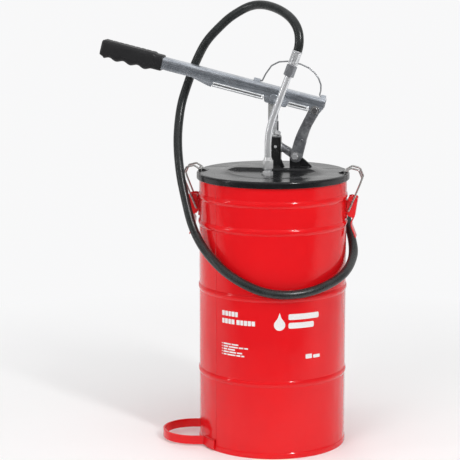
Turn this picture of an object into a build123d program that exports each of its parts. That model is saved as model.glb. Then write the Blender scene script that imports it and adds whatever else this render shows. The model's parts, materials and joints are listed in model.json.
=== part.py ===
from build123d import *
import os
from math import cos, sin, tan, radians, sqrt, atan2, degrees

os.makedirs("parts", exist_ok=True)

# ---------------------------------------------------------------------------
# Hand-lever bucket grease pump.  Millimetres, +Z up.
# Origin: centre of the drum's base ring, on the ground.
# The lever and the two lid latches lie along X; the grip points to -X.
# ---------------------------------------------------------------------------

# drum
R_DRUM = 115.0            # outer radius of the wall
T_DRUM = 1.0              # sheet thickness
Z_WALL_TOP = 423.0
BEADS = (118.0, 251.0, 353.0, 395.0)   # swaged stiffening beads
BEAD_H = 5.0
BEAD_OUT = 1.7
R_CHIME = 116.0

# lid
R_LID = 119.1
Z_RIM_LOW = 420.5
Z_LID = 431.0             # flat part of the lid
Z_TOP = 438.5             # raised pad the pump stands on
PAD_FRONT = -19.0
PAD_REAR = 26.0

# pump axis and linkage pivots (x, z)
XP = 4.6
A = (2.2, 546.0)          # lever pin through the rod clevis
B = (65.5, 528.0)         # lever on fulcrum link
C = (35.0, 456.0)         # fulcrum link on foot bracket
LEVER_TILT = 13.8         # degrees above horizontal, towards the grip
RUN = 0.08                # radial clearance of a running fit

# lever channel
LEV_HALF = 13.0
LEV_T = 2.0
LEV_TOP = 19.5
LEV_END = -12.0
LEV_TIP = 334.0

# delivery side
XO, YO = -2.0, -55.0      # riser, outlet fitting and pipe
PIPE_R = 5.25
PIPE_BORE = 3.5
Z_KINK = 500.0
PIPE_LEAN = 20.0
R_BEND = 125.0

# latches (right-hand one; the left one is its mirror image)
H = (121.5, 390.0)        # latch lever pivot
P = (119.0, 372.0)        # wire bail pivot
HOOK = (113.0, 433.6)     # bail crossbar behind the lid lug
R_HINGE = 2.5
R_WIRE = 1.5

# barrel and piston
R_BORE = 15.0
R_BARREL = 17.0
Z_BLOCK = 52.0
R_ROD = 5.0

HOSE_R = 6.9

EU = Vector(-cos(radians(LEVER_TILT)), 0, sin(radians(LEVER_TILT)))
EW = Vector(sin(radians(LEVER_TILT)), 0, cos(radians(LEVER_TILT)))
B3 = Vector(B[0], 0, B[1])


def xz(y):
    """Plane seen from the front at depth y; extruding goes towards -Y."""
    return Plane(origin=(0, y, 0), x_dir=(1, 0, 0), z_dir=(0, -1, 0))


def lever_side(y):
    """Lever side view, (u, w) from pivot B; extruding goes towards +Y."""
    return Plane(origin=(B[0], y, B[1]), x_dir=EU, z_dir=(0, 1, 0))


def lever_section(u):
    """Lever cross-section at distance u from pivot B; extruding goes to the grip."""
    o = B3 + EU * u
    return Plane(origin=o, x_dir=(0, -1, 0), z_dir=EU)


def in_lever(u, w, y=0.0):
    return B3 + EU * u + EW * w + Vector(0, y, 0)


def along_pipe(t):
    """Plane square to the leaning part of the pipe, t from its bend."""
    s, c = sin(radians(PIPE_LEAN)), cos(radians(PIPE_LEAN))
    return Plane(origin=(XO + s * t, YO, Z_KINK + c * t), x_dir=(c, 0, -s), z_dir=(s, 0, c))


# ---------------------------------------------------------------------------
# Drum
# ---------------------------------------------------------------------------
with BuildPart() as drum_shell:
    with BuildSketch(Plane.XZ):
        with BuildLine():
            ro, ri = R_DRUM, R_DRUM - T_DRUM
            pts_up = [(ro, 0.0)]
            last = (ro, 0.0)
            for zb in BEADS:
                Line(last, (ro, zb - BEAD_H))
                ThreePointArc((ro, zb - BEAD_H), (ro + BEAD_OUT, zb), (ro, zb + BEAD_H))
                last = (ro, zb + BEAD_H)
            Line(last, (ro, Z_WALL_TOP))
            Line((ro, Z_WALL_TOP), (ri, Z_WALL_TOP))
            last = (ri, Z_WALL_TOP)
            for zb in reversed(BEADS):
                Line(last, (ri, zb + BEAD_H - 0.4))
                ThreePointArc((ri, zb + BEAD_H - 0.4), (ri + BEAD_OUT, zb), (ri, zb - BEAD_H + 0.4))
                last = (ri, zb - BEAD_H + 0.4)
            Line(last, (ri, 0.0))
            Line((ri, 0.0), (ro, 0.0))
        make_face()
    revolve(axis=Axis.Z)
    # rolled top edge
    with BuildSketch(Plane.XZ):
        with Locations((R_DRUM + 0.6, Z_WALL_TOP + 1.0)):
            Circle(2.2)
    revolve(axis=Axis.Z)
    # double-seamed bottom chime
    with BuildSketch(Plane.XZ):
        with BuildLine():
            Polyline((R_DRUM - 0.5, 0.0), (R_CHIME - 0.4, 0.0), (R_CHIME, 0.6), (R_CHIME, 7.6),
                     (R_DRUM, 9.2), (R_DRUM - 0.5, 9.2), (R_DRUM - 0.5, 0.0))
        make_face()
    revolve(axis=Axis.Z)
drum_shell.part.label = "drum_shell"
export_step(drum_shell.part, "parts/drum_shell.step")

with BuildPart() as drum_bottom:
    with BuildSketch(Plane.XZ):
        with BuildLine():
            Polyline((0, 0), (R_DRUM - T_DRUM, 0), (R_DRUM - T_DRUM, 8), (R_DRUM - T_DRUM - 1, 8),
                     (R_DRUM - T_DRUM - 1, 1), (0, 1), (0, 0))
        make_face()
    revolve(axis=Axis.Z)
drum_bottom.part.label = "drum_bottom"
export_step(drum_bottom.part, "parts/drum_bottom.step")

# flat-strap foot loop welded round the base
LOOP_HALF = 49.0
LOOP_T = 3.0
# tabs that follow the wall
with BuildSketch() as tab_ring:
    for side in (1, -1):
        with BuildLine():
            Polyline((0, 0), (170 * cos(radians(23.0)), side * 170 * sin(radians(23.0))),
                     (170 * cos(radians(39.5)), side * 170 * sin(radians(39.5))), (0, 0))
        make_face()
    Circle(R_CHIME + LOOP_T, mode=Mode.INTERSECT)
    Circle(R_CHIME, mode=Mode.SUBTRACT)

with BuildPart() as foot_loop:
    with BuildSketch(Plane(origin=(0, 0, 3), x_dir=(cos(radians(187)), sin(radians(187)), 0), z_dir=(0, 0, 1))):
        with Locations((125, 0)):
            Circle(LOOP_HALF)
            Circle(LOOP_HALF - LOOP_T, mode=Mode.SUBTRACT)
        with Locations((110, 0)):
            Rectangle(30, 2 * LOOP_HALF + 2, mode=Mode.SUBTRACT)
        for s in (1, -1):
            with Locations((115, s * (LOOP_HALF - LOOP_T / 2))):
                Rectangle(20.2, LOOP_T)
        add(tab_ring.sketch)
        Circle(R_CHIME, mode=Mode.SUBTRACT)
    extrude(amount=13.5)
    fillet(foot_loop.edges().filter_by(GeomType.CIRCLE).filter_by(lambda e: e.radius > LOOP_HALF - 1 and e.radius < LOOP_HALF + 1), 0.8)
foot_loop.part.label = "foot_loop"
export_step(foot_loop.part, "parts/foot_loop.step")

# ---------------------------------------------------------------------------
# Lid
# ---------------------------------------------------------------------------
# hollow under the raised bridge of the lid
with BuildPart() as void_round:
    with BuildSketch(Plane.XZ):
        with BuildLine():
            Line((0, 429), (0, Z_TOP - 1.0))
            Line((0, Z_TOP - 1.0), (54.5, Z_TOP - 1.0))
            Spline((54.5, Z_TOP - 1.0), (71, (Z_TOP + Z_LID) / 2 - 1.0), (86.5, Z_LID - 1.0), tangents=((1, 0), (1, 0)))
            Line((86.5, Z_LID - 1.0), (86.5, 429))
            Line((86.5, 429), (0, 429))
        make_face()
    revolve(axis=Axis.Z)
with BuildPart() as void_band:
    with BuildSketch(Plane(origin=(-115, 0, 0), x_dir=(0, 1, 0), z_dir=(1, 0, 0))):
        with BuildLine():
            Polyline((PAD_FRONT + 1.0, 442), (PAD_FRONT + 1.0, Z_TOP - 0.6), (PAD_FRONT - 0.6, Z_TOP - 4.0),
                     (PAD_FRONT - 3.8, Z_TOP - 7.2), (PAD_FRONT - 6.0, 430), (PAD_FRONT - 6.0, 428),
                     (PAD_REAR + 6.0, 428), (PAD_REAR + 6.0, 430), (PAD_REAR + 3.8, Z_TOP - 7.2),
                     (PAD_REAR + 0.6, Z_TOP - 4.0), (PAD_REAR - 1.0, Z_TOP - 0.6), (PAD_REAR - 1.0, 442),
                     (PAD_FRONT + 1.0, 442))
        make_face()
    extrude(amount=230)

lid_void = void_round.part & void_band.part

with BuildPart() as lid_cap:
    # outer form: skirt, rounded shoulder, flat, S-curve up to the pad
    with BuildSketch(Plane.XZ):
        with BuildLine():
            Line((0, 430), (0, Z_TOP))
            Line((0, Z_TOP), (55, Z_TOP))
            Spline((55, Z_TOP), (71.5, (Z_TOP + Z_LID) / 2), (88, Z_LID), tangents=((1, 0), (1, 0)))
            Line((88, Z_LID), (R_LID - 3.2, Z_LID))
            ThreePointArc((R_LID - 3.2, Z_LID), (R_LID - 0.94, Z_LID - 0.94), (R_LID, Z_LID - 3.2))
            Line((R_LID, Z_LID - 3.2), (R_LID, Z_RIM_LOW + 0.6))
            Line((R_LID, Z_RIM_LOW + 0.6), (R_LID - 0.5, Z_RIM_LOW))
            Line((R_LID - 0.5, Z_RIM_LOW), (R_LID - 1.0, Z_RIM_LOW + 0.4))
            Line((R_LID - 1.0, Z_RIM_LOW + 0.4), (R_LID - 1.0, Z_LID - 3.2))
            ThreePointArc((R_LID - 1.0, Z_LID - 3.2), (R_LID - 1.65, Z_LID - 1.65), (R_LID - 3.2, 430))
            Line((R_LID - 3.2, 430), (0, 430))
        make_face()
    revolve(axis=Axis.Z)
    # front and rear parts pressed down to the flat, leaving a raised bridge
    with BuildSketch(Plane(origin=(-115, 0, 0), x_dir=(0, 1, 0), z_dir=(1, 0, 0))):
        with BuildLine():
            Polyline((-112, 442), (PAD_FRONT, 442), (PAD_FRONT, Z_TOP - 0.6), (PAD_FRONT - 1.6, Z_TOP - 2.6))
            ThreePointArc((PAD_FRONT - 1.6, Z_TOP - 2.6), (PAD_FRONT - 3.4, Z_TOP - 3.9), (PAD_FRONT - 7.0, Z_TOP - 4.3))
            Polyline((PAD_FRONT - 7.0, Z_TOP - 4.3), (-95, Z_LID), (-112, Z_LID), (-112, 442))
        make_face()
        with BuildLine():
            Polyline((112, 442), (PAD_REAR, 442), (PAD_REAR, Z_TOP - 0.8), (PAD_REAR + 1.6, Z_TOP - 3.6))
            ThreePointArc((PAD_REAR + 1.6, Z_TOP - 3.6), (PAD_REAR + 4.6, Z_TOP - 6.4), (PAD_REAR + 12.0, Z_LID))
            Polyline((PAD_REAR + 12.0, Z_LID), (112, Z_LID), (112, 442))
        make_face()
    extrude(amount=230, mode=Mode.SUBTRACT)
    # underside of the bridge is hollow, one sheet thick
    add(lid_void, mode=Mode.SUBTRACT)
    # flat seat for the outlet fitting
    with BuildSketch(Plane.XY.offset(Z_LID)):
        with Locations((XO, YO)):
            Circle(9.4)
    extrude(amount=8, mode=Mode.SUBTRACT)
    # rod opening and outlet opening
    with BuildSketch(Plane.XY.offset(425)):
        with Locations((XP, 0)):
            Circle(7.0)
        with Locations((XO, YO)):
            Circle(6.2)
    extrude(amount=20, mode=Mode.SUBTRACT)
lid_cap.part.label = "lid_cap"
export_step(lid_cap.part, "parts/lid_cap.step")

with BuildPart() as lid_gasket:
    with BuildSketch(Plane.XY.offset(426.3)):
        Circle(R_LID - 3.4)
        Circle(R_LID - 8.5, mode=Mode.SUBTRACT)
    extrude(amount=3.6)
lid_gasket.part.label = "lid_gasket"
export_step(lid_gasket.part, "parts/lid_gasket.step")

# a low ramp and an upstanding lug on each side of the lid hold the latch wire
with BuildPart() as lid_lugs:
    for s in (1, -1):
        with BuildSketch(xz(8.0)):
            with BuildLine():
                Polyline((s * 101.5, Z_LID), (s * 110.8, Z_LID), (s * 110.8, Z_LID + 2.5), (s * 108.5, Z_LID + 2.6), (s * 101.5, Z_LID))
            make_face()
        extrude(amount=16)
        with BuildSketch(xz(7.0)):
            with BuildLine():
                Polyline((s * 114.9, Z_LID), (s * 116.6, Z_LID), (s * 116.6, Z_LID + 3.4), (s * 116.0, Z_LID + 4.2), (s * 114.9, Z_LID + 4.2), (s * 114.9, Z_LID))
            make_face()
        extrude(amount=14)
lid_lugs.part.label = "lid_lugs"
export_step(lid_lugs.part, "parts/lid_lugs.step")

# ---------------------------------------------------------------------------
# Pump head above the lid
# ---------------------------------------------------------------------------
Z_HEAD = 485.0
HEAD = 16.0
with BuildPart() as pump_head:
    with BuildSketch(Plane.XY.offset(Z_TOP)):
        with Locations((XP, 0)):
            Rectangle(HEAD, HEAD)
    extrude(amount=Z_HEAD - Z_TOP)
    fillet(pump_head.edges().filter_by(Axis.Z), 1.6)
    chamfer(pump_head.faces().sort_by(Axis.Z)[-1].edges(), 0.5)
    # gussets at the foot, to +X and -X
    with BuildSketch(xz(2.0)):
        with BuildLine():
            Polyline((XP + 7.5, Z_TOP), (XP + 13.5, Z_TOP), (XP + 8.0, Z_TOP + 12.0), (XP + 7.5, Z_TOP + 12.0), (XP + 7.5, Z_TOP))
        make_face()
        with BuildLine():
            Polyline((XP - 7.5, Z_TOP), (XP - 13.5, Z_TOP), (XP - 8.0, Z_TOP + 12.0), (XP - 7.5, Z_TOP + 12.0), (XP - 7.5, Z_TOP))
        make_face()
    extrude(amount=4.0)
    # rod passage, packing chamber at the top
    with BuildSketch(Plane.XY.offset(Z_TOP)):
        with Locations((XP, 0)):
            Circle(5.6)
    extrude(amount=Z_HEAD - Z_TOP, mode=Mode.SUBTRACT)
    with BuildSketch(Plane.XY.offset(Z_HEAD - 14)):
        with Locations((XP, 0)):
            Circle(6.9)
    extrude(amount=14.5, mode=Mode.SUBTRACT)
    # tapped hole for the front screw
    with BuildSketch(xz(-3.0)):
        with Locations((XP - 0.2, 470.0)):
            Circle(1.5)
    extrude(amount=8, mode=Mode.SUBTRACT)
pump_head.part.label = "pump_head"
export_step(pump_head.part, "parts/pump_head.step")

with BuildPart() as head_screw:
    with BuildSketch(xz(-6.95)):
        with Locations((XP - 0.2, 470.0)):
            Circle(1.45)
    extrude(amount=1.25)
    with BuildSketch(xz(-8.0)):
        with Locations((XP - 0.2, 470.0)):
            Circle(2.4)
    extrude(amount=1.6)
    fillet(head_screw.faces().sort_by(Axis.Y)[0].edges(), 0.8)
head_screw.part.label = "head_screw"
export_step(head_screw.part, "parts/head_screw.step")

with BuildPart() as rod_packing:
    with BuildSketch(Plane.XY.offset(Z_HEAD - 13.9)):
        with Locations((XP, 0)):
            Circle(6.85)
            Circle(R_ROD + 0.05, mode=Mode.SUBTRACT)
    extrude(amount=8.0)
rod_packing.part.label = "rod_packing"
export_step(rod_packing.part, "parts/rod_packing.step")

BLEED_DIR = Vector(0.28, -0.62, 0.73).normalized()
BLEED_AT = Vector(XP + 2.4, -6.9, 487.3)
with BuildPart() as gland_nut:
    with BuildSketch(Plane.XY.offset(Z_HEAD)):
        with Locations((XP, 0)):
            Circle(8.0)
    extrude(amount=3.2)
    fillet(gland_nut.faces().sort_by(Axis.Z)[-1].edges(), 0.9)
    with BuildSketch(Plane.XY.offset(Z_HEAD - 5.8)):
        with Locations((XP, 0)):
            Circle(6.8)
    extrude(amount=6.0)
    # small boss that carries the bleed screw
    with BuildSketch(Plane.XY.offset(Z_HEAD + 0.05)):
        with Locations((XP + 2.2, -6.2)):
            Circle(3.6)
    extrude(amount=3.1)
    with BuildSketch(Plane.XY.offset(Z_HEAD - 7)):
        with Locations((XP, 0)):
            Circle(R_ROD + RUN)
    extrude(amount=14, mode=Mode.SUBTRACT)
    with BuildSketch(Plane(origin=BLEED_AT, z_dir=BLEED_DIR)):
        Circle(1.6)
    extrude(amount=8, mode=Mode.SUBTRACT)
gland_nut.part.label = "gland_nut"
export_step(gland_nut.part, "parts/gland_nut.step")

with BuildPart() as bleed_screw:
    with BuildSketch(Plane(origin=BLEED_AT + BLEED_DIR * 0.1, z_dir=BLEED_DIR)):
        Circle(1.52)
    extrude(amount=4.0)
    with BuildSketch(Plane(origin=BLEED_AT + BLEED_DIR * 3.6, z_dir=BLEED_DIR)):
        Circle(4.3)
    extrude(amount=4.4)
    fillet(bleed_screw.faces().sort_by(SortBy.AREA)[-1].edges(), 0.6)
bleed_screw.part.label = "bleed_screw"
export_step(bleed_screw.part, "parts/bleed_screw.step")

# ---------------------------------------------------------------------------
# Fulcrum: foot bracket, brace, link and its bolts
# ---------------------------------------------------------------------------
R_C = 3.0
R_B = 3.0
with BuildPart() as foot_bracket:
    with BuildSketch(xz(8.0)):
        with BuildLine():
            Polyline((26.6, 459.0), (26.6, Z_TOP), (43.4, Z_TOP), (43.4, 459.0))
            ThreePointArc((43.4, 459.0), (35.0, 463.6), (26.6, 459.0))
        make_face()
    extrude(amount=16)
    with BuildSketch(xz(5.5)):
        with Locations((35, 457.5)):
            Rectangle(30, 32)
    extrude(amount=11, mode=Mode.SUBTRACT)
    # gusset behind, sloping down to +X
    with BuildSketch(xz(5.5)):
        with BuildLine():
            Polyline((41.4, Z_TOP), (60.5, Z_TOP), (59.5, Z_TOP + 2.0), (43.8, Z_TOP + 15.5), (41.4, Z_TOP + 15.5), (41.4, Z_TOP))
        make_face()
    extrude(amount=4.0)
    with BuildSketch(xz(20)):
        with Locations(C):
            Circle(R_C)
    extrude(amount=40, mode=Mode.SUBTRACT)
foot_bracket.part.label = "foot_bracket"
export_step(foot_bracket.part, "parts/foot_bracket.step")

# round brace from the head to the fulcrum bolt, flattened to an eye
with BuildPart() as brace_strut:
    b_dir = Vector(C[0] - 12.6, 0, C[1] - 468.6).normalized()
    b0 = Vector(HEAD / 2 + XP + 0.05, 0, 469.2)
    with BuildSketch(Plane(origin=b0 - b_dir * 6, z_dir=b_dir)):
        Circle(6.1)
    extrude(amount=20)
    with BuildSketch(xz(5.4)):
        with BuildLine():
            Polyline((22.5, 469.6), (C[0] + 0.5, C[1] + 6.0))
            ThreePointArc((C[0] + 0.5, C[1] + 6.0), (C[0] + 6.0, C[1] - 1.0), (C[0] - 2.0, C[1] - 6.4))
            Polyline((C[0] - 2.0, C[1] - 6.4), (18.2, 459.4), (22.5, 469.6))
        make_face()
    extrude(amount=10.8)
    with BuildSketch(Plane.XY.offset(440)):
        with Locations((XP, 0)):
            Rectangle(HEAD + 0.02, 40)
    extrude(amount=50, mode=Mode.SUBTRACT)
    with BuildSketch(xz(20)):
        with Locations(C):
            Circle(R_C)
    extrude(amount=40, mode=Mode.SUBTRACT)
brace_strut.part.label = "brace_strut"
export_step(brace_strut.part, "parts/brace_strut.step")

with BuildPart() as fulcrum_bolt:
    with BuildSketch(xz(17.5)):
        with Locations(C):
            Circle(R_C)
    extrude(amount=29.4)
    with BuildSketch(xz(-11.9)):
        with Locations(C):
            RegularPolygon(radius=4.7, side_count=6, major_radius=False)
    extrude(amount=4.0)
    with BuildSketch(xz(-11.9)):
        with Locations(C):
            Circle(5.0)
    extrude(amount=0.4)
    chamfer(fulcrum_bolt.faces().sort_by(Axis.Y)[0].edges(), 0.6)
fulcrum_bolt.part.label = "fulcrum_bolt"
export_step(fulcrum_bolt.part, "parts/fulcrum_bolt.step")

with BuildPart() as fulcrum_nut:
    with BuildSketch(xz(16.9)):
        with Locations(C):
            RegularPolygon(radius=4.7, side_count=6, major_radius=False)
            Circle(R_C, mode=Mode.SUBTRACT)
    extrude(amount=5.0)
fulcrum_nut.part.label = "fulcrum_nut"
export_step(fulcrum_nut.part, "parts/fulcrum_nut.step")

with BuildPart() as fulcrum_washers:
    for y in (11.9, -10.6):
        with BuildSketch(xz(y)):
            with Locations(C):
                Circle(6.2)
                Circle(R_C, mode=Mode.SUBTRACT)
        extrude(amount=1.3)
fulcrum_washers.part.label = "fulcrum_washers"
export_step(fulcrum_washers.part, "parts/fulcrum_washers.step")

LINK_HALF = 10.5
with BuildPart() as fulcrum_link:
    with BuildSketch(xz(LINK_HALF)):
        with BuildLine():
            Spline((27.4, 455.0), (30.6, 469.0), (35.0, 484.0), (41.2, 499.0), (48.4, 513.5), (56.9, 531.0))
            ThreePointArc((56.9, 531.0), (65.8, 537.0), (74.4, 529.5))
            Spline((74.4, 529.5), (67.3, 515.0), (59.8, 501.5), (54.6, 488.0), (50.8, 475.0), (45.8, 455.0))
            ThreePointArc((45.8, 455.0), (36.6, 446.6), (27.4, 455.0))
        make_face()
    extrude(amount=2 * LINK_HALF)
    # channel opens to -X; the web stops short of both eyes
    with BuildSketch(xz(LINK_HALF - 2.0)):
        with BuildLine():
            Spline((72.0, 528.5), (65.0, 515.5), (57.4, 502.2), (52.2, 488.4), (48.5, 475.0), (43.5, 455.0))
            Polyline((43.5, 455.0), (43.5, 440.0), (20.0, 440.0), (20.0, 545.0), (72.0, 545.0), (72.0, 528.5))
        make_face()
    extrude(amount=2 * LINK_HALF - 4.0, mode=Mode.SUBTRACT)
    with BuildSketch(xz(LINK_HALF - 2.0)):
        with Locations((45, 460)):
            Rectangle(60, 36)
        with Locations((65, 533)):
            Rectangle(60, 30)
    extrude(amount=2 * LINK_HALF - 4.0, mode=Mode.SUBTRACT)
    # pressed dimple in the near cheek
    with BuildSketch(xz(-LINK_HALF)):
        with Locations((45.6, 480.5)):
            Circle(1.8)
    extrude(amount=0.7)
    with BuildSketch(xz(20)):
        with Locations(C):
            Circle(R_C + RUN)
        with Locations(B):
            Circle(R_B + RUN)
    extrude(amount=40, mode=Mode.SUBTRACT)
fulcrum_link.part.label = "fulcrum_link"
export_step(fulcrum_link.part, "parts/fulcrum_link.step")

with BuildPart() as link_bolt:
    with BuildSketch(xz(19.5)):
        with Locations(B):
            Circle(R_B)
    extrude(amount=33.7)
    with BuildSketch(xz(-14.2)):
        with Locations(B):
            RegularPolygon(radius=5.0, side_count=6, major_radius=False)
    extrude(amount=4.0)
    chamfer(link_bolt.faces().sort_by(Axis.Y)[0].edges(), 0.6)
link_bolt.part.label = "link_bolt"
export_step(link_bolt.part, "parts/link_bolt.step")

with BuildPart() as link_nut:
    with BuildSketch(xz(19.0)):
        with Locations(B):
            RegularPolygon(radius=5.0, side_count=6, major_radius=False)
            Circle(R_B, mode=Mode.SUBTRACT)
    extrude(amount=4.8)
link_nut.part.label = "link_nut"
export_step(link_nut.part, "parts/link_nut.step")

with BuildPart() as link_washers:
    for y in (14.2, -13.0):
        with BuildSketch(xz(y)):
            with Locations(B):
                Circle(6.8)
                Circle(R_B, mode=Mode.SUBTRACT)
        extrude(amount=1.2)
link_washers.part.label = "link_washers"
export_step(link_washers.part, "parts/link_washers.step")

# ---------------------------------------------------------------------------
# Lever
# ---------------------------------------------------------------------------
A_UW = (65.8, 2.4)
R_A = 4.0
with BuildPart() as lever_channel:
    # rounded inverted U, full depth
    with BuildSketch(lever_section(LEV_END)) as sec:
        with Locations((0, (LEV_TOP - 9) / 2)):
            Rectangle(2 * LEV_HALF, LEV_TOP + 9)
        fillet(sec.vertices().group_by(Axis.Z)[-1], 4.0)
    extrude(amount=LEV_TIP - LEV_END)
    with BuildSketch(lever_section(LEV_END - 1)) as sec_in:
        with Locations((0, (LEV_TOP - LEV_T - 20) / 2)):
            Rectangle(2 * (LEV_HALF - LEV_T), LEV_TOP - LEV_T + 20)
        fillet(sec_in.vertices().group_by(Axis.Z)[-1], 2.2)
    extrude(amount=LEV_TIP - LEV_END + 2, mode=Mode.SUBTRACT)
    # lower edge: lobes at both pins, shallow between them, tapering to the grip
    with BuildSketch(lever_side(-30)):
        with BuildLine():
            Polyline((LEV_END - 2, 4.5), (-11.5, 4.5), (-6.5, -6.0))
            ThreePointArc((-6.5, -6.0), (0.0, -8.6), (6.0, -6.4))
            Polyline((6.0, -6.4), (10.5, 0.8), (42.0, 0.8), (44.5, -6.4), (47.0, -7.4), (76.0, -7.4), (79.0, -6.2),
                     (82.0, 0.8), (163.0, 0.8), (165.0, -5.4), (172.0, -4.6), (198.0, 1.5),
                     (LEV_TIP + 2, 1.5), (LEV_TIP + 2, -30), (LEV_END - 2, -30), (LEV_END - 2, 4.5))
        make_face()
    extrude(amount=60, mode=Mode.SUBTRACT)
    # outward flared lips along the lower edges
    for (u0, u1) in ((10.5, 42.0), (82.0, 163.0)):
        with BuildSketch(lever_section(u0)):
            for s in (1, -1):
                with BuildLine():
                    Polyline((s * 11.0, 0.6), (s * 13.0, 2.6))
                    ThreePointArc((s * 13.0, 2.6), (s * 14.2, 0.4), (s * 18.4, -1.6))
                    Polyline((s * 18.4, -1.6), (s * 18.4, -3.6))
                    ThreePointArc((s * 18.4, -3.6), (s * 13.0, -2.4), (s * 11.0, 0.6))
                make_face()
        extrude(amount=u1 - u0)
    with BuildSketch(lever_side(-30)):
        with Locations(A_UW):
            Circle(R_A)
        with Locations((0, 0)):
            Circle(R_B)
    extrude(amount=60, mode=Mode.SUBTRACT)
lever_channel.part.label = "lever_channel"
export_step(lever_channel.part, "parts/lever_channel.step")

# plastic grip with finger waves underneath
G0, G1, GE = 247.5, 259.0, 346.5
with BuildPart() as grip:
    with BuildSketch(lever_side(-15.5)):
        with BuildLine():
            Line((G1, -2.2), (G1, 21.8))
            Line((G1, 21.8), (G1 + 8.0, 24.0))
            Line((G1 + 8.0, 24.0), (GE - 5.0, 24.2))
            ThreePointArc((GE - 5.0, 24.2), (GE - 1.6, 22.8), (GE - 0.2, 19.2))
            Line((GE - 0.2, 19.2), (GE, -0.6))
            ThreePointArc((GE, -0.6), (GE - 1.6, -3.6), (GE - 5.0, -4.4))
            Spline((GE - 5.0, -4.4), (334.0, -1.8), (320.0, -5.4), (311.5, -1.8), (296.5, -5.4), (288.5, -1.8),
                   (273.5, -5.4), (265.0, -2.2), (G1, -2.2))
        make_face()
    extrude(amount=31.0)
    fillet(grip.edges().filter_by(lambda e: e.length > 60), 2.4)
    # collar where the channel enters
    with BuildSketch(lever_section(G0)) as col:
        with Locations((0, 10.2)):
            RectangleRounded(29.0, 24.6, 3.4)
    extrude(amount=G1 - G0 + 2)
    # socket for the channel
    with BuildSketch(lever_section(G0 - 1)):
        with Locations((0, (LEV_TOP + 1.5) / 2)):
            Rectangle(2 * LEV_HALF, LEV_TOP - 1.5)
    extrude(amount=LEV_TIP - G0 + 1.0, mode=Mode.SUBTRACT)
grip.part.label = "grip"
export_step(grip.part, "parts/grip.step")

with BuildPart() as lever_pin:
    pa = in_lever(*A_UW)
    with BuildSketch(xz(16.2)):
        with Locations((pa.X, pa.Z)):
            Circle(R_A)
    extrude(amount=29.2)
    with BuildSketch(xz(-13.0)):
        with Locations((pa.X, pa.Z)):
            Circle(6.6)
    extrude(amount=3.4)
    fillet(lever_pin.faces().sort_by(Axis.Y)[0].edges(), 1.6)
lever_pin.part.label = "lever_pin"
export_step(lever_pin.part, "parts/lever_pin.step")

with BuildPart() as lever_pin_clip:
    with BuildSketch(xz(14.6)):
        with Locations((pa.X, pa.Z)):
            Circle(6.4)
            Circle(R_A, mode=Mode.SUBTRACT)
            with Locations((0, -5.4)):
                Rectangle(3.2, 5.0, mode=Mode.SUBTRACT)
    extrude(amount=1.4)
lever_pin_clip.part.label = "lever_pin_clip"
export_step(lever_pin_clip.part, "parts/lever_pin_clip.step")

# two eyes on the lever's back and the wire loop they carry
R_BAIL = 1.2
W_BAIL = 22.0
with BuildPart() as bail_eyes:
    for (u0, u1) in ((-11.0, -3.6), (93.6, 104.0)):
        with BuildSketch(lever_section(u0)):
            with BuildLine():
                Polyline((-6.0, LEV_TOP), (6.0, LEV_TOP), (4.6, LEV_TOP + 2.4))
                ThreePointArc((4.6, LEV_TOP + 2.4), (0, LEV_TOP + 5.2), (-4.6, LEV_TOP + 2.4))
                Line((-4.6, LEV_TOP + 2.4), (-6.0, LEV_TOP))
            make_face()
        extrude(amount=u1 - u0)
    with BuildSketch(lever_section(-20)):
        with Locations((0, W_BAIL)):
            Circle(R_BAIL + RUN)
    extrude(amount=140, mode=Mode.SUBTRACT)
bail_eyes.part.label = "bail_eyes"
export_step(bail_eyes.part, "parts/bail_eyes.step")

with BuildPart() as wire_bail:
    with BuildLine() as bl:
        p = [in_lever(u, w) for (u, w) in ((100.0, W_BAIL), (91.0, W_BAIL), (88.0, 34.5), (82.4, 48.6), (72.5, 57.2),
                                             (58.7, 61.6), (39.3, 62.0), (26.0, 59.6), (15.5, 54.6), (7.2, 47.6),
                                             (1.6, 39.6), (-0.6, 31.0), (-0.8, W_BAIL), (-9.5, W_BAIL))]
        FilletPolyline(*p, radius=[2.2, 7, 7, 7, 7, 7, 7, 7, 7, 7, 7, 2.2])
    with BuildSketch(Plane(origin=p[0], z_dir=EU * -1)):
        Circle(R_BAIL)
    sweep(path=bl.line)
wire_bail.part.label = "wire_bail"
export_step(wire_bail.part, "parts/wire_bail.step")

# ---------------------------------------------------------------------------
# Rod, clevis, piston, barrel
# ---------------------------------------------------------------------------
R_EYE = 9.4
CL_L, CL_R = A[0] - R_EYE, 6.8
Z_NECK = Z_HEAD + 3.2 + 3.4
with BuildPart() as rod_clevis:
    # fork: two side plates with round heads, joined by a bridge at the bottom
    with BuildSketch(xz(8.0)):
        with BuildLine():
            Polyline((CL_L, A[1]), (CL_L, 508.0), (CL_L + 5.0, 500.0), (CL_R - 0.4, 500.0), (CL_R, 503.0), (CL_R, A[1]), (CL_L, A[1]))
        make_face()
        with Locations(A):
            Circle(R_EYE)
    extrude(amount=16.0)
    with BuildSketch(xz(5.0)):
        with Locations((A[0], 537.0)):
            Rectangle(40, 50)
    extrude(amount=10.0, mode=Mode.SUBTRACT)
    # oversize eye: this pivot is the one left open
    with BuildSketch(xz(20)):
        with Locations((A[0], A[1])):
            Circle(6.4)
    extrude(amount=40, mode=Mode.SUBTRACT)
    # narrower neck below, down to just above the gland
    with BuildSketch(xz(4.7)):
        with BuildLine():
            Polyline((CL_L + 1.0, 505.0), (CL_L + 2.6, Z_NECK), (CL_R - 0.2, Z_NECK), (CL_R - 0.2, 505.0), (CL_L + 1.0, 505.0))
        make_face()
    extrude(amount=9.4)
    with BuildSketch(Plane.XY.offset(Z_NECK - 2)):
        with Locations((XP, 0)):
            Circle(4.0)
    extrude(amount=509 - Z_NECK + 2, mode=Mode.SUBTRACT)
rod_clevis.part.label = "rod_clevis"
export_step(rod_clevis.part, "parts/rod_clevis.step")

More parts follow.
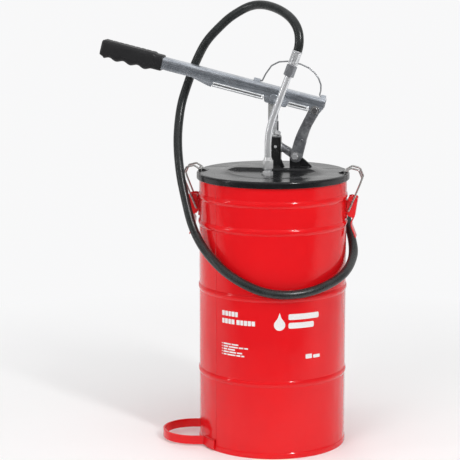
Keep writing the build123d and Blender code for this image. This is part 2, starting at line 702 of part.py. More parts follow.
with BuildPart() as piston_rod:
    with BuildSketch(Plane.XY.offset(92)):
        with Locations((XP, 0)):
            Circle(R_ROD)
    extrude(amount=Z_NECK - 92)
    with BuildSketch(Plane.XY.offset(Z_NECK)):
        with Locations((XP, 0)):
            Circle(4.0)
    extrude(amount=509.0 - Z_NECK)
    with BuildSketch(Plane.XY.offset(72)):
        with Locations((XP, 0)):
            Circle(4.0)
    extrude(amount=20.0)
piston_rod.part.label = "piston_rod"
export_step(piston_rod.part, "parts/piston_rod.step")

with BuildPart() as piston:
    with BuildSketch(Plane.XZ):
        with BuildLine():
            Polyline((XP + 4.0, 80.0), (XP + R_BORE - 0.1, 80.0), (XP + R_BORE - 0.1, 92.0), (XP + 4.0, 92.0), (XP + 4.0, 80.0))
        make_face()
    revolve(axis=Axis((XP, 0, 0), (0, 0, 1)))
piston.part.label = "piston"
export_step(piston.part, "parts/piston.step")

with BuildPart() as piston_cup:
    with BuildSketch(Plane.XZ):
        with BuildLine():
            Polyline((XP + 4.0, 80.0), (XP + 4.0, 77.5), (XP + 11.5, 77.5), (XP + 12.6, 73.0), (XP + R_BORE - 0.06, 73.0),
                     (XP + R_BORE - 0.06, 80.0), (XP + 4.0, 80.0))
        make_face()
    revolve(axis=Axis((XP, 0, 0), (0, 0, 1)))
piston_cup.part.label = "piston_cup"
export_step(piston_cup.part, "parts/piston_cup.step")

with BuildPart() as piston_nut:
    with BuildSketch(Plane.XY.offset(72.2)):
        with Locations((XP, 0)):
            RegularPolygon(radius=6.5, side_count=6, major_radius=False)
            Circle(4.0, mode=Mode.SUBTRACT)
    extrude(amount=5.2)
piston_nut.part.label = "piston_nut"
export_step(piston_nut.part, "parts/piston_nut.step")

with BuildPart() as pump_barrel:
    with BuildSketch(Plane.XY.offset(Z_BLOCK)):
        with Locations((XP, 0)):
            Circle(R_BARREL)
    extrude(amount=433.5 - Z_BLOCK)
    with BuildSketch(Plane.XY.offset(433.5)):
        with Locations((XP, 0)):
            Circle(17.8)
    extrude(amount=4.0)
    with BuildSketch(Plane.XY.offset(Z_BLOCK)):
        with Locations((XP, 0)):
            Circle(R_BORE)
    extrude(amount=433.0 - Z_BLOCK, mode=Mode.SUBTRACT)
    with BuildSketch(Plane.XY.offset(430)):
        with Locations((XP, 0)):
            Circle(5.8)
    extrude(amount=10, mode=Mode.SUBTRACT)
    # grease ports above the piston's rest position
    with BuildSketch(xz(30)):
        with Locations((XP, 140), (XP, 156)):
            Circle(3.0)
    extrude(amount=60, mode=Mode.SUBTRACT)
pump_barrel.part.label = "pump_barrel"
export_step(pump_barrel.part, "parts/pump_barrel.step")

# valve block at the foot of the barrel, with inlet and outlet ball valves
with BuildPart() as valve_block:
    with BuildSketch(Plane.XY.offset(30)):
        with Locations((XP, 0)):
            Circle(21)
        with Locations((XO, YO)):
            Circle(9.5)
        make_hull()
    extrude(amount=Z_BLOCK - 30)
    with BuildSketch(Plane.XY.offset(Z_BLOCK)):
        with Locations((XP, 0)):
            Circle(21)
            Circle(R_BARREL, mode=Mode.SUBTRACT)
    extrude(amount=9)
    with BuildSketch(Plane.XY.offset(Z_BLOCK)):
        with Locations((XO, YO)):
            Circle(9.5)
    extrude(amount=12)
    with BuildSketch(Plane.XY.offset(38)):
        with Locations((XP, 0)):
            Circle(8.4)
    extrude(amount=14, mode=Mode.SUBTRACT)
    with BuildSketch(Plane.XY.offset(30)):
        with Locations((XP, 0)):
            Circle(5.0)
    extrude(amount=8, mode=Mode.SUBTRACT)
    with BuildSketch(Plane.XY.offset(40)):
        with Locations((XO, YO)):
            Circle(3.0)
    extrude(amount=6, mode=Mode.SUBTRACT)
    with BuildSketch(Plane.XY.offset(46)):
        with Locations((XO, YO)):
            Circle(4.8)
    extrude(amount=10, mode=Mode.SUBTRACT)
    with BuildSketch(Plane.XY.offset(56)):
        with Locations((XO, YO)):
            Circle(6.0)
    extrude(amount=8, mode=Mode.SUBTRACT)
    with BuildSketch(Plane(origin=(XO, YO, 43), z_dir=(XP - XO, -YO, 0))):
        Circle(2.6)
    extrude(amount=50, mode=Mode.SUBTRACT)
valve_block.part.label = "valve_block"
export_step(valve_block.part, "parts/valve_block.step")

with BuildPart() as inlet_ball:
    with Locations((XP, 0, 43.0)):
        Sphere(7.0)
inlet_ball.part.label = "inlet_ball"
export_step(inlet_ball.part, "parts/inlet_ball.step")

with BuildPart() as inlet_ball_stop:
    with BuildSketch(Plane(origin=(XP - 14.9, 0, 57.6), z_dir=(1, 0, 0))):
        Circle(1.5)
    extrude(amount=29.8)
inlet_ball_stop.part.label = "inlet_ball_stop"
export_step(inlet_ball_stop.part, "parts/inlet_ball_stop.step")

with BuildPart() as outlet_ball:
    with Locations((XO, YO, 49.05)):
        Sphere(4.2)
outlet_ball.part.label = "outlet_ball"
export_step(outlet_ball.part, "parts/outlet_ball.step")

with BuildPart() as suction_strainer:
    with BuildSketch(Plane.XY.offset(12)):
        with Locations((XP, 0)):
            Circle(16)
    extrude(amount=18)
    with BuildSketch(Plane.XY.offset(13.5)):
        with Locations((XP, 0)):
            Circle(14.6)
    extrude(amount=17, mode=Mode.SUBTRACT)
    for k in range(6):
        with BuildSketch(Plane(origin=(XP, 0, 21), x_dir=(cos(radians(30 * k)), sin(radians(30 * k)), 0),
                               z_dir=(-sin(radians(30 * k)), cos(radians(30 * k)), 0))):
            Rectangle(4.0, 10.0)
        extrude(amount=20, both=True, mode=Mode.SUBTRACT)
suction_strainer.part.label = "suction_strainer"
export_step(suction_strainer.part, "parts/suction_strainer.step")

with BuildPart() as riser_tube:
    with BuildSketch(Plane.XY.offset(56)):
        with Locations((XO, YO)):
            Circle(6.0)
            Circle(4.0, mode=Mode.SUBTRACT)
    extrude(amount=418.0 - 56)
riser_tube.part.label = "riser_tube"
export_step(riser_tube.part, "parts/riser_tube.step")

# ---------------------------------------------------------------------------
# Follower plate riding on the grease
# ---------------------------------------------------------------------------
ZF = 300.0
with BuildPart() as follower_plate:
    with BuildSketch(Plane.XY.offset(ZF)):
        Circle(110)
        with Locations((XP, 0)):
            Circle(R_BARREL + 0.8, mode=Mode.SUBTRACT)
        with Locations((XO, YO)):
            Circle(7.0, mode=Mode.SUBTRACT)
    extrude(amount=2.0)
    with BuildSketch(Plane.XY.offset(ZF + 2.0)):
        with Locations((XP, 0)):
            Circle(R_BARREL + 3.0)
            Circle(R_BARREL + 0.8, mode=Mode.SUBTRACT)
    extrude(amount=8.0)
    with BuildSketch(Plane.XY.offset(ZF + 2.0)):
        with PolarLocations(60, 2, start_angle=0):
            RectangleRounded(5, 40, 2.4)
    extrude(amount=6.0)
follower_plate.part.label = "follower_plate"
export_step(follower_plate.part, "parts/follower_plate.step")

with BuildPart() as follower_seal:
    with BuildSketch(Plane.XZ):
        with BuildLine():
            Polyline((100, ZF), (100, ZF - 3.0), (112.6, ZF - 3.0), (113.8, ZF + 7), (112.4, ZF + 7), (110.4, ZF + 2.4),
                     (110.4, ZF), (100, ZF))
        make_face()
    revolve(axis=Axis.Z)
follower_seal.part.label = "follower_seal"
export_step(follower_seal.part, "parts/follower_seal.step")

# ---------------------------------------------------------------------------
# Outlet fitting, pipe, nuts, hose
# ---------------------------------------------------------------------------
with BuildPart() as outlet_fitting:
    with BuildSketch(Plane.XY.offset(418)):
        with Locations((XO, YO)):
            Circle(6.0)
    extrude(amount=Z_LID - 418)
    with BuildSketch(Plane.XY.offset(Z_LID)):
        with Locations((XO, YO)):
            RegularPolygon(radius=6.9, side_count=6, major_radius=False)
    extrude(amount=7.0)
    with BuildSketch(Plane.XY.offset(Z_LID + 7.0)):
        with Locations((XO, YO)):
            Circle(5.6)
    extrude(amount=4.6)
    with BuildSketch(Plane.XY.offset(Z_LID + 11.6)):
        with Locations((XO, YO)):
            Circle(4.6)
    extrude(amount=7.0)
    with BuildSketch(Plane.XY.offset(418)):
        with Locations((XO, YO)):
            Circle(3.0)
    extrude(amount=34, mode=Mode.SUBTRACT)
outlet_fitting.part.label = "outlet_fitting"
export_step(outlet_fitting.part, "parts/outlet_fitting.step")

with BuildPart() as outlet_locknut:
    with BuildSketch(Plane.XY.offset(423)):
        with Locations((XO, YO)):
            RegularPolygon(radius=9.5, side_count=6, major_radius=False)
            Circle(6.0, mode=Mode.SUBTRACT)
    extrude(amount=7.0)
outlet_locknut.part.label = "outlet_locknut"
export_step(outlet_locknut.part, "parts/outlet_locknut.step")

with BuildPart() as pipe_nut_lower:
    with BuildSketch(Plane.XY.offset(Z_LID + 11.8)):
        with Locations((XO, YO)):
            RegularPolygon(radius=7.0, side_count=6, major_radius=False)
    extrude(amount=13.0)
    with BuildSketch(Plane.XY.offset(Z_LID + 24.8)):
        with Locations((XO, YO)):
            Circle(6.8)
    extrude(amount=4.0, taper=12)
    with BuildSketch(Plane.XY.offset(Z_LID + 11)):
        with Locations((XO, YO)):
            Circle(4.6)
    extrude(amount=8.0, mode=Mode.SUBTRACT)
    with BuildSketch(Plane.XY.offset(Z_LID + 19)):
        with Locations((XO, YO)):
            Circle(PIPE_R)
    extrude(amount=12.0, mode=Mode.SUBTRACT)
pipe_nut_lower.part.label = "pipe_nut_lower"
export_step(pipe_nut_lower.part, "parts/pipe_nut_lower.step")

T_NUT = 89.5
with BuildPart() as discharge_pipe:
    with BuildLine() as pl:
        k = R_BEND * tan(radians(PIPE_LEAN / 2))
        p0 = (XO, YO, Z_LID + 19)
        p1 = (XO, YO, Z_KINK - k)
        p2 = (XO + k * sin(radians(PIPE_LEAN)), YO, Z_KINK + k * cos(radians(PIPE_LEAN)))
        p3 = (XO + (T_NUT + 6) * sin(radians(PIPE_LEAN)), YO, Z_KINK + (T_NUT + 6) * cos(radians(PIPE_LEAN)))
        Line(p0, p1)
        TangentArc(p1, p2, tangent=(0, 0, 1))
        Line(p2, p3)
    with BuildSketch(Plane(origin=p0, z_dir=(0, 0, 1))):
        Circle(PIPE_R)
        Circle(PIPE_BORE, mode=Mode.SUBTRACT)
    sweep(path=pl.line)
discharge_pipe.part.label = "discharge_pipe"
export_step(discharge_pipe.part, "parts/discharge_pipe.step")

with BuildPart() as pipe_nut_upper:
    with BuildSketch(along_pipe(T_NUT)):
        RegularPolygon(radius=7.0, side_count=6, major_radius=False)
        Circle(PIPE_R, mode=Mode.SUBTRACT)
    extrude(amount=6.0)
    with BuildSketch(along_pipe(T_NUT + 6.0)):
        RegularPolygon(radius=7.0, side_count=6, major_radius=False)
        Circle(3.0, mode=Mode.SUBTRACT)
    extrude(amount=11.0)
pipe_nut_upper.part.label = "pipe_nut_upper"
export_step(pipe_nut_upper.part, "parts/pipe_nut_upper.step")

T_FER = T_NUT + 17.0
T_HOSE = 113.0
T_MOUTH = 130.0
with BuildPart() as hose_ferrule:
    with BuildSketch(along_pipe(T_FER)):
        Circle(6.2)
    extrude(amount=2.0)
    with BuildSketch(along_pipe(T_FER + 2.0)):
        Circle(7.7)
    extrude(amount=T_MOUTH - T_FER - 2.0)
    with BuildSketch(along_pipe(T_FER)):
        Circle(3.0)
    extrude(amount=10, mode=Mode.SUBTRACT)
    with BuildSketch(along_pipe(T_HOSE)):
        Circle(HOSE_R)
    extrude(amount=T_MOUTH - T_HOSE + 1, mode=Mode.SUBTRACT)
    chamfer(hose_ferrule.edges().filter_by(GeomType.CIRCLE).filter_by(lambda e: abs(e.radius - 7.7) < 0.01), 0.4)
hose_ferrule.part.label = "hose_ferrule"
export_step(hose_ferrule.part, "parts/hose_ferrule.step")

# hose centre line: over the top behind the lever, down on the left,
# round the front of the drum and up behind its right side
h0 = along_pipe(T_HOSE).origin
h1 = along_pipe(T_MOUTH).origin
HOSE_END = (20.5, 128.5, 322.0)
HOSE_PTS = [
    (44.6, -54.6, 636.0), (42.6, -49.5, 651.0), (35.2, -40.0, 664.2), (21.5, -24.0, 675.4), (-1.5, -1.0, 684.6),
    (-20.0, 14.5, 687.1), (-41.8, 28.5, 683.4), (-58.5, 34.6, 675.1), (-72.6, 36.6, 665.8), (-91.5, 37.2, 648.6),
    (-109.0, 37.0, 629.0), (-120.6, 36.2, 609.0), (-131.8, 34.6, 583.0), (-140.6, 31.6, 557.6),
    (-146.9, 26.6, 535.5), (-150.0, 16.0, 510.5), (-149.4, -4.0, 479.0), (-144.6, -24.0, 447.0), (-138.6, -37.0, 419.0),
    (-130.4, -47.5, 389.3), (-117.6, -59.5, 350.0), (-103.0, -72.4, 326.0), (-81.6, -95.8, 306.6), (-60.5, -110.5, 291.4),
    (-29.5, -122.6, 275.4), (-6.3, -125.9, 266.7), (15.8, -125.1, 262.0), (37.6, -120.3, 260.6), (58.8, -111.4, 261.7),
    (80.0, -97.2, 265.9), (100.4, -76.0, 272.6), (115.6, -49.9, 281.0), (124.0, -16.0, 291.5), (125.6, 18.0, 305.5),
    (121.7, 38.0, 319.3), (117.0, 52.0, 331.8), (111.4, 64.4, 348.6), (102.4, 78.6, 369.0), (86.5, 96.6, 387.0),
    (62.0, 113.8, 391.0), (38.4, 124.0, 376.0), (24.6, 127.8, 350.0),
]
with BuildPart() as grease_hose:
    with BuildLine() as hl:
        xe, ye, ze = HOSE_END
        hose_run = Spline(h0, (h0 + h1) / 2, h1, *HOSE_PTS, HOSE_END, (xe, ye, ze - 8.0), (xe, ye, ze - 16.0))
    with BuildSketch(Plane(origin=h0, z_dir=hose_run % 0)):
        Circle(HOSE_R)
    sweep(path=hl.line)
grease_hose.part.label = "grease_hose"
export_step(grease_hose.part, "parts/grease_hose.step")

# free end: ferrule, coupler body and its nose, held in a clip behind the drum
XE, YE, ZE = HOSE_END
with BuildPart() as end_ferrule:
    with BuildSketch(Plane.XY.offset(ZE - 23)):
        with Locations((XE, YE)):
            Circle(7.7)
    extrude(amount=22)
    with BuildSketch(Plane.XY.offset(ZE - 16)):
        with Locations((XE, YE)):
            Circle(HOSE_R)
    extrude(amount=20, mode=Mode.SUBTRACT)
    with BuildSketch(Plane.XY.offset(ZE - 24)):
        with Locations((XE, YE)):
            Circle(3.0)
    extrude(amount=10, mode=Mode.SUBTRACT)
end_ferrule.part.label = "end_ferrule"
export_step(end_ferrule.part, "parts/end_ferrule.step")

with BuildPart() as coupler_body:
    with BuildSketch(Plane.XY.offset(ZE - 33)):
        with Locations((XE, YE)):
            RegularPolygon(radius=6.5, side_count=6, major_radius=False)
    extrude(amount=10)
    with BuildSketch(Plane.XY.offset(ZE - 50)):
        with Locations((XE, YE)):
            Circle(6.0)
    extrude(amount=17)
    with BuildSketch(Plane.XY.offset(ZE - 51)):
        with Locations((XE, YE)):
            Circle(2.5)
    extrude(amount=30, mode=Mode.SUBTRACT)
coupler_body.part.label = "coupler_body"
export_step(coupler_body.part, "parts/coupler_body.step")

COUPLER_R = 3.4
with BuildPart() as coupler_nose:
    with BuildSketch(Plane.XY.offset(ZE - 66)):
        with Locations((XE, YE)):
            Circle(7.6)
    extrude(amount=26)
    fillet(coupler_nose.faces().sort_by(Axis.Z)[0].edges(), 2.0)
    fillet(coupler_nose.faces().sort_by(Axis.Z)[-1].edges(), 0.8)
    with BuildSketch(Plane.XY.offset(ZE - 67)):
        with Locations((XE, YE)):
            Circle(COUPLER_R)
    extrude(amount=20, mode=Mode.SUBTRACT)
    with BuildSketch(Plane.XY.offset(ZE - 50)):
        with Locations((XE, YE)):
            Circle(6.0)
    extrude(amount=12, mode=Mode.SUBTRACT)
coupler_nose.part.label = "coupler_nose"
export_step(coupler_nose.part, "parts/coupler_nose.step")

# spring clip riveted to the drum, gripping the ferrule
ZC = ZE - 12.0
with BuildPart() as hose_clip:
    with BuildSketch(Plane(origin=(XE, YE, ZC - 7), x_dir=(cos(radians(-9)), sin(radians(-9)), 0), z_dir=(0, 0, 1))):
        Circle(9.2)
        Circle(7.75, mode=Mode.SUBTRACT)
        with Locations((0, 9)):
            Rectangle(9, 10, mode=Mode.SUBTRACT)
        with Locations((0, -8.9)):
            Rectangle(9.0, 1.6)
    extrude(amount=14)
    with BuildSketch(Plane(origin=(XE, YE, ZC), x_dir=(cos(radians(-9)), sin(radians(-9)), 0), z_dir=(sin(radians(-9)) * -1, cos(radians(-9)), 0)).offset(-9.6)):
        Rectangle(16, 34)
    extrude(amount=1.6)
    with BuildSketch(Plane.XY.offset(ZC - 20)):
        Circle(R_DRUM)
    extrude(amount=40, mode=Mode.SUBTRACT)
    # mounting pad between strap and wall
    with BuildSketch(Plane.XY.offset(ZC - 17)):
        Circle(R_DRUM + 4.6)
        Circle(R_DRUM, mode=Mode.SUBTRACT)
        with Locations((112 * sin(radians(9)), 112 * cos(radians(9)))):
            Rectangle(16, 40, rotation=-9, mode=Mode.INTERSECT)
    extrude(amount=34)
hose_clip.part.label = "hose_clip"
export_step(hose_clip.part, "parts/hose_clip.step")

# ---------------------------------------------------------------------------
# Lid latches
# ---------------------------------------------------------------------------
for side, s in (("right", 1), ("left", -1)):
    def q(pt):
        return (s * pt[0], pt[1])

    # base plate on the wall with two ears
    with BuildPart() as latch_bracket:
        with BuildSketch(Plane.XY.offset(360.0)):
            Circle(R_DRUM + 2.0)
            Circle(R_DRUM, mode=Mode.SUBTRACT)
            with Locations((s * 115, 0)):
                Rectangle(40, 19.0, mode=Mode.INTERSECT)
        extrude(amount=28.5)
        for y in (9.4, -7.9):
            with BuildSketch(xz(y)):
                with BuildLine():
                    Polyline(q((115.6, 378.0)), q((115.6, 388.5)), q((118.6, 388.5)), q((118.2, H[1])))
                    ThreePointArc(q((118.2, H[1])), q((H[0] + 1.2, H[1] + 3.8)), q((H[0] + 4.0, H[1] - 0.6)))
                    Polyline(q((H[0] + 4.0, H[1] - 0.6)), q((118.4, 378.0)), q((115.6, 378.0)))
                make_face()
            extrude(amount=1.5)
        with BuildSketch(xz(20)):
            with Locations(q(H)):
                Circle(R_HINGE)
        extrude(amount=40, mode=Mode.SUBTRACT)
    latch_bracket.part.label = "latch_bracket_" + side
    export_step(latch_bracket.part, "parts/latch_bracket_" + side + ".step")

    with BuildPart() as latch_pin:
        with BuildSketch(xz(13.0)):
            with Locations(q(H)):
                Circle(R_HINGE)
        extrude(amount=26.0)
        with BuildSketch(xz(13.6)):
            with Locations(q(H)):
                Circle(3.0)
        extrude(amount=1.2)
        with BuildSketch(xz(-12.4)):
            with Locations(q(H)):
                Circle(3.0)
        extrude(amount=1.2)
    latch_pin.part.label = "latch_pin_" + side
    export_step(latch_pin.part, "parts/latch_pin_" + side + ".step")

    # pressed lever: two cheeks, a wide back and a curled finger tail
    with BuildPart() as latch_lever:
        for y in (11.7, -10.2):
            with BuildSketch(xz(y)):
                with BuildLine():
                    Polyline(q((118.0, 390.0)), q((118.8, 394.0)), q((123.0, 395.0)), q((131.5, 393.5)), q((133.0, 391.0)),
                             q((129.0, 364.0)), q((126.6, 360.4)), q((118.2, 364.5)), q((115.8, 369.0)), q((115.8, 375.0)), q((118.0, 390.0)))
                make_face()
            extrude(amount=1.5)
        with BuildSketch(xz(11.7)):
            with BuildLine():
                Polyline(q((131.4, 391.2)), q((133.0, 391.0)), q((129.0, 364.0)), q((124.0, 353.5)), q((124.6, 347.5)), q((131.2, 330.5)))
                Line(q((131.2, 330.5)), q((129.8, 329.9)))
                Polyline(q((129.8, 329.9)), q((123.0, 347.0)), q((122.4, 354.0)), q((127.5, 364.4)), q((131.4, 391.2)))
            make_face()
        extrude(amount=23.4)
        with BuildSketch(xz(20)):
            with Locations(q(H)):
                Circle(R_HINGE + RUN)
            with Locations(q(P)):
                Circle(R_WIRE + RUN)
        extrude(amount=40, mode=Mode.SUBTRACT)
    latch_lever.part.label = "latch_lever_" + side
    export_step(latch_lever.part, "parts/latch_lever_" + side + ".step")

    # bent wire bail
    YL = 13.5
    with BuildPart() as latch_bail:
        leg = [P, (121.8, 378.5), (127.8, 393.0), (133.6, 407.5), (137.6, 417.4), (139.7, 424.2), (138.6, 431.0), (134.6, 436.4),
               (129.0, 439.3), (122.6, 439.4), (116.8, 436.6), HOOK]
        with BuildLine() as wl:
            a = [Vector(s * p[0], YL, p[1]) for p in leg]
            b = [Vector(s * p[0], -YL, p[1]) for p in leg]
            e0 = Vector(s * P[0], 9.9, P[1])
            e1 = Vector(s * P[0], -9.9, P[1])
            FilletPolyline(e0, a[0], a[2], a[4], a[5], a[7], a[9], a[11], b[11], b[9], b[7], b[5], b[4], b[2], b[0], e1,
                           radius=[1.9, 3, 3, 3, 3, 3, 2.2, 2.2, 3, 3, 3, 3, 3, 1.9])
        with BuildSketch(Plane(origin=e0, z_dir=(0, 1, 0))):
            Circle(R_WIRE)
        sweep(path=wl.line)
    latch_bail.part.label = "latch_bail_" + side
    export_step(latch_bail.part, "parts/latch_bail_" + side + ".step")
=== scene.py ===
import bpy, bmesh, json, math, random
from mathutils import Vector, Matrix


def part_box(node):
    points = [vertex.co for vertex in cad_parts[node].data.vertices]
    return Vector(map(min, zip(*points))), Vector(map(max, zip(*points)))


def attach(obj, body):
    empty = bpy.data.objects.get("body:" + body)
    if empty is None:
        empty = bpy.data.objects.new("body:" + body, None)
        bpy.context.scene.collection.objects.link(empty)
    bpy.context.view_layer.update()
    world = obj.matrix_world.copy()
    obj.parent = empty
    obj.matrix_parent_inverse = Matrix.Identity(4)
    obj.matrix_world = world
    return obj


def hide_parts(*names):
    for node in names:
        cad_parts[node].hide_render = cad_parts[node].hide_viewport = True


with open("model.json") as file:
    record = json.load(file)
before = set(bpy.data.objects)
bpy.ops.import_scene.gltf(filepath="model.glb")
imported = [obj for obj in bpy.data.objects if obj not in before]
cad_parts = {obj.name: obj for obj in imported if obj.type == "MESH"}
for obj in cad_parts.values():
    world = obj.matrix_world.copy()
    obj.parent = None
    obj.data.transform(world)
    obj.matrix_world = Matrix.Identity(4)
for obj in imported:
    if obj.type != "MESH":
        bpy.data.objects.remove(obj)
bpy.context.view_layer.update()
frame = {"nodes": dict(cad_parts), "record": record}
NODES = frame["nodes"]
rnd = random.Random(7)
MM = 0.001


# ---------------------------------------------------------------- materials
class Mat:
    """A node material with a Principled shader and a bump chain."""

    def __init__(self, name, color, metallic=0.0, rough=0.4, coat=0.0, coat_rough=0.05, spec=0.5):
        self.m = bpy.data.materials.new(name)
        self.m.use_nodes = True
        self.m.diffuse_color = (*color, 1)
        self.t = self.m.node_tree
        self.b = next(n for n in self.t.nodes if n.type == "BSDF_PRINCIPLED")
        self.b.inputs["Base Color"].default_value = (*color, 1)
        self.b.inputs["Metallic"].default_value = metallic
        self.b.inputs["Roughness"].default_value = rough
        self.b.inputs["Coat Weight"].default_value = coat
        self.b.inputs["Coat Roughness"].default_value = coat_rough
        self.b.inputs["Specular IOR Level"].default_value = spec
        self.co = self.n("ShaderNodeTexCoord").outputs["Object"]
        self.normal = None

    def n(self, kind, **props):
        node = self.t.nodes.new(kind)
        for k, v in props.items():
            if k in node.inputs.keys() if hasattr(node.inputs, "keys") else False:
                node.inputs[k].default_value = v
            else:
                setattr(node, k, v)
        return node

    def link(self, a, b):
        self.t.links.new(a, b)

    def mapped(self, scale=(1, 1, 1), rot=(0, 0, 0)):
        m = self.n("ShaderNodeMapping")
        m.inputs["Scale"].default_value = scale
        m.inputs["Rotation"].default_value = rot
        self.link(self.co, m.inputs["Vector"])
        return m.outputs["Vector"]

    def turned(self, tilt, scale):
        """Object coordinates turned about Y so X runs along the lever, then stretched."""
        m = self.n("ShaderNodeMapping")
        m.inputs["Rotation"].default_value = (0, -tilt, 0)
        self.link(self.co, m.inputs["Vector"])
        k = self.n("ShaderNodeMapping")
        k.inputs["Scale"].default_value = scale
        self.link(m.outputs["Vector"], k.inputs["Vector"])
        return k.outputs["Vector"]

    def axis(self, vec, which):
        sep = self.n("ShaderNodeSeparateXYZ")
        self.link(vec, sep.inputs[0])
        return sep.outputs[which]

    def lit_right_face_mask(self):
        # mask of faces turned towards +X, used for a painted highlight
        geo = self.n("ShaderNodeNewGeometry")
        return self.remap(self.axis(geo.outputs["Normal"], "X"), 0.45, 0.80, 0, 1)

    def noise(self, scale, detail=3.0, rough=0.55, vec=None, dist=0.0):
        n = self.n("ShaderNodeTexNoise")
        n.inputs["Scale"].default_value = scale
        n.inputs["Detail"].default_value = detail
        n.inputs["Roughness"].default_value = rough
        n.inputs["Distortion"].default_value = dist
        self.link(vec or self.co, n.inputs["Vector"])
        return n.outputs["Fac"]

    def voronoi(self, scale, feature="F1", vec=None, out="Distance"):
        n = self.n("ShaderNodeTexVoronoi")
        n.feature = feature
        n.inputs["Scale"].default_value = scale
        self.link(vec or self.co, n.inputs["Vector"])
        return n.outputs[out]

    def remap(self, v, a, b, c, d):
        n = self.n("ShaderNodeMapRange")
        n.clamp = True
        for k, x in zip(("From Min", "From Max", "To Min", "To Max"), (a, b, c, d)):
            n.inputs[k].default_value = x
        self.link(v, n.inputs["Value"])
        return n.outputs["Result"]

    def math(self, op, a, b=0.5):
        n = self.n("ShaderNodeMath")
        n.operation = op
        for i, x in enumerate((a, b)):
            if isinstance(x, (int, float)):
                n.inputs[i].default_value = x
            else:
                self.link(x, n.inputs[i])
        return n.outputs[0]

    def mix(self, fac, a, b):
        n = self.n("ShaderNodeMix")
        n.data_type = "RGBA"
        for sock, x in ((n.inputs[0], fac), (n.inputs[6], a), (n.inputs[7], b)):
            if isinstance(x, (int, float)):
                sock.default_value = x
            elif isinstance(x, tuple):
                sock.default_value = (*x, 1)
            else:
                self.link(x, sock)
        return n.outputs[2]

    def edges(self, radius=0.0009, lo=0.86, hi=0.985):
        """1 on sharp edges, 0 on flats."""
        bev = self.n("ShaderNodeBevel")
        bev.samples = 4
        bev.inputs["Radius"].default_value = radius
        geo = self.n("ShaderNodeNewGeometry")
        dot = self.n("ShaderNodeVectorMath")
        dot.operation = "DOT_PRODUCT"
        self.link(bev.outputs[0], dot.inputs[0])
        self.link(geo.outputs["Normal"], dot.inputs[1])
        return self.remap(dot.outputs["Value"], lo, hi, 1.0, 0.0)

    def soft_edges(self, radius=0.0007):
        bev = self.n("ShaderNodeBevel")
        bev.samples = 4
        bev.inputs["Radius"].default_value = radius
        self.normal = bev.outputs[0]

    def bump(self, height, strength=0.2, dist=0.001):
        n = self.n("ShaderNodeBump")
        n.inputs["Strength"].default_value = strength
        n.inputs["Distance"].default_value = dist
        self.link(height, n.inputs["Height"])
        if self.normal is not None:
            self.link(self.normal, n.inputs["Normal"])
        self.normal = n.outputs[0]

    def color(self, sock):
        self.link(sock, self.b.inputs["Base Color"])

    def rough(self, sock):
        self.link(sock, self.b.inputs["Roughness"])

    def metal(self, sock):
        self.link(sock, self.b.inputs["Metallic"])

    def done(self):
        if self.normal is not None:
            self.link(self.normal, self.b.inputs["Normal"])
            self.link(self.normal, self.b.inputs["Coat Normal"])
        return self.m


def drum_paint():
    k = Mat("red_enamel", (0.80, 0.008, 0.012), rough=0.20, coat=0.42, coat_rough=0.05, spec=0.14)
    var = k.noise(7.0, 3, 0.5)
    dust = k.noise(160.0, 5, 0.65)
    base = k.mix(k.remap(var, 0.3, 0.7, 0, 1), (0.66, 0.005, 0.009), (0.76, 0.007, 0.010))
    chips = k.math("MULTIPLY", k.edges(0.0011, 0.80, 0.95), k.remap(k.noise(330.0, 4, 0.7), 0.52, 0.60, 0, 1))
    worn = k.mix(k.math("MULTIPLY", chips, 0.55), base, (0.42, 0.05, 0.05))
    scuff = k.math("MULTIPLY", k.remap(k.noise(26, 6, 0.7), 0.60, 0.75, 0, 1), 0.18)
    k.color(k.mix(scuff, worn, (0.60, 0.010, 0.015)))
    k.rough(k.remap(dust, 0.3, 0.75, 0.15, 0.26))
    k.soft_edges(0.0012)
    # hand-made sheet: broad shallow dents, stretched up the wall, under a fine orange peel
    k.bump(k.noise(13.0, 1.5, 0.4, k.mapped((1, 1, 0.55))), 0.60, 0.010)
    k.bump(k.noise(45.0, 1.5, 0.5, k.mapped((1, 1, 0.7))), 0.30, 0.0016)
    k.bump(k.noise(1500.0, 2, 0.5), 0.05, 0.0004)
    return k.done()


def latch_paint():
    k = Mat("red_enamel_worn", (0.78, 0.008, 0.012), rough=0.3, coat=0.5, coat_rough=0.08)
    e = k.math("MULTIPLY", k.edges(0.0008, 0.84, 0.97), k.remap(k.noise(420.0, 4, 0.7), 0.44, 0.60, 0, 1))
    k.color(k.mix(k.math("MULTIPLY", e, 0.8), k.mix(k.noise(60.0, 3), (0.70, 0.006, 0.010), (0.84, 0.010, 0.014)), (0.35, 0.33, 0.33)))
    k.metal(k.math("MULTIPLY", e, 0.7))
    k.rough(k.remap(k.noise(180.0, 4), 0.3, 0.7, 0.24, 0.40))
    k.soft_edges(0.0009)
    k.bump(k.noise(1300.0, 2), 0.06, 0.0004)
    return k.done()


def black_paint():
    k = Mat("black_enamel", (0.006, 0.006, 0.007), rough=0.26, coat=0.28, coat_rough=0.12, spec=0.45)
    dust = k.noise(240.0, 6, 0.7)
    smear = k.noise(18.0, 4, 0.6, k.mapped((1, 2.5, 1)))
    k.color(k.mix(k.remap(dust, 0.55, 0.85, 0, 0.35), (0.007, 0.007, 0.008), (0.05, 0.05, 0.052)))
    k.rough(k.remap(smear, 0.35, 0.7, 0.20, 0.34))
    k.soft_edges(0.0010)
    k.bump(k.noise(18.0, 1.5, 0.5), 0.25, 0.0020)
    k.bump(k.noise(900.0, 2), 0.05, 0.0004)
    return k.done()


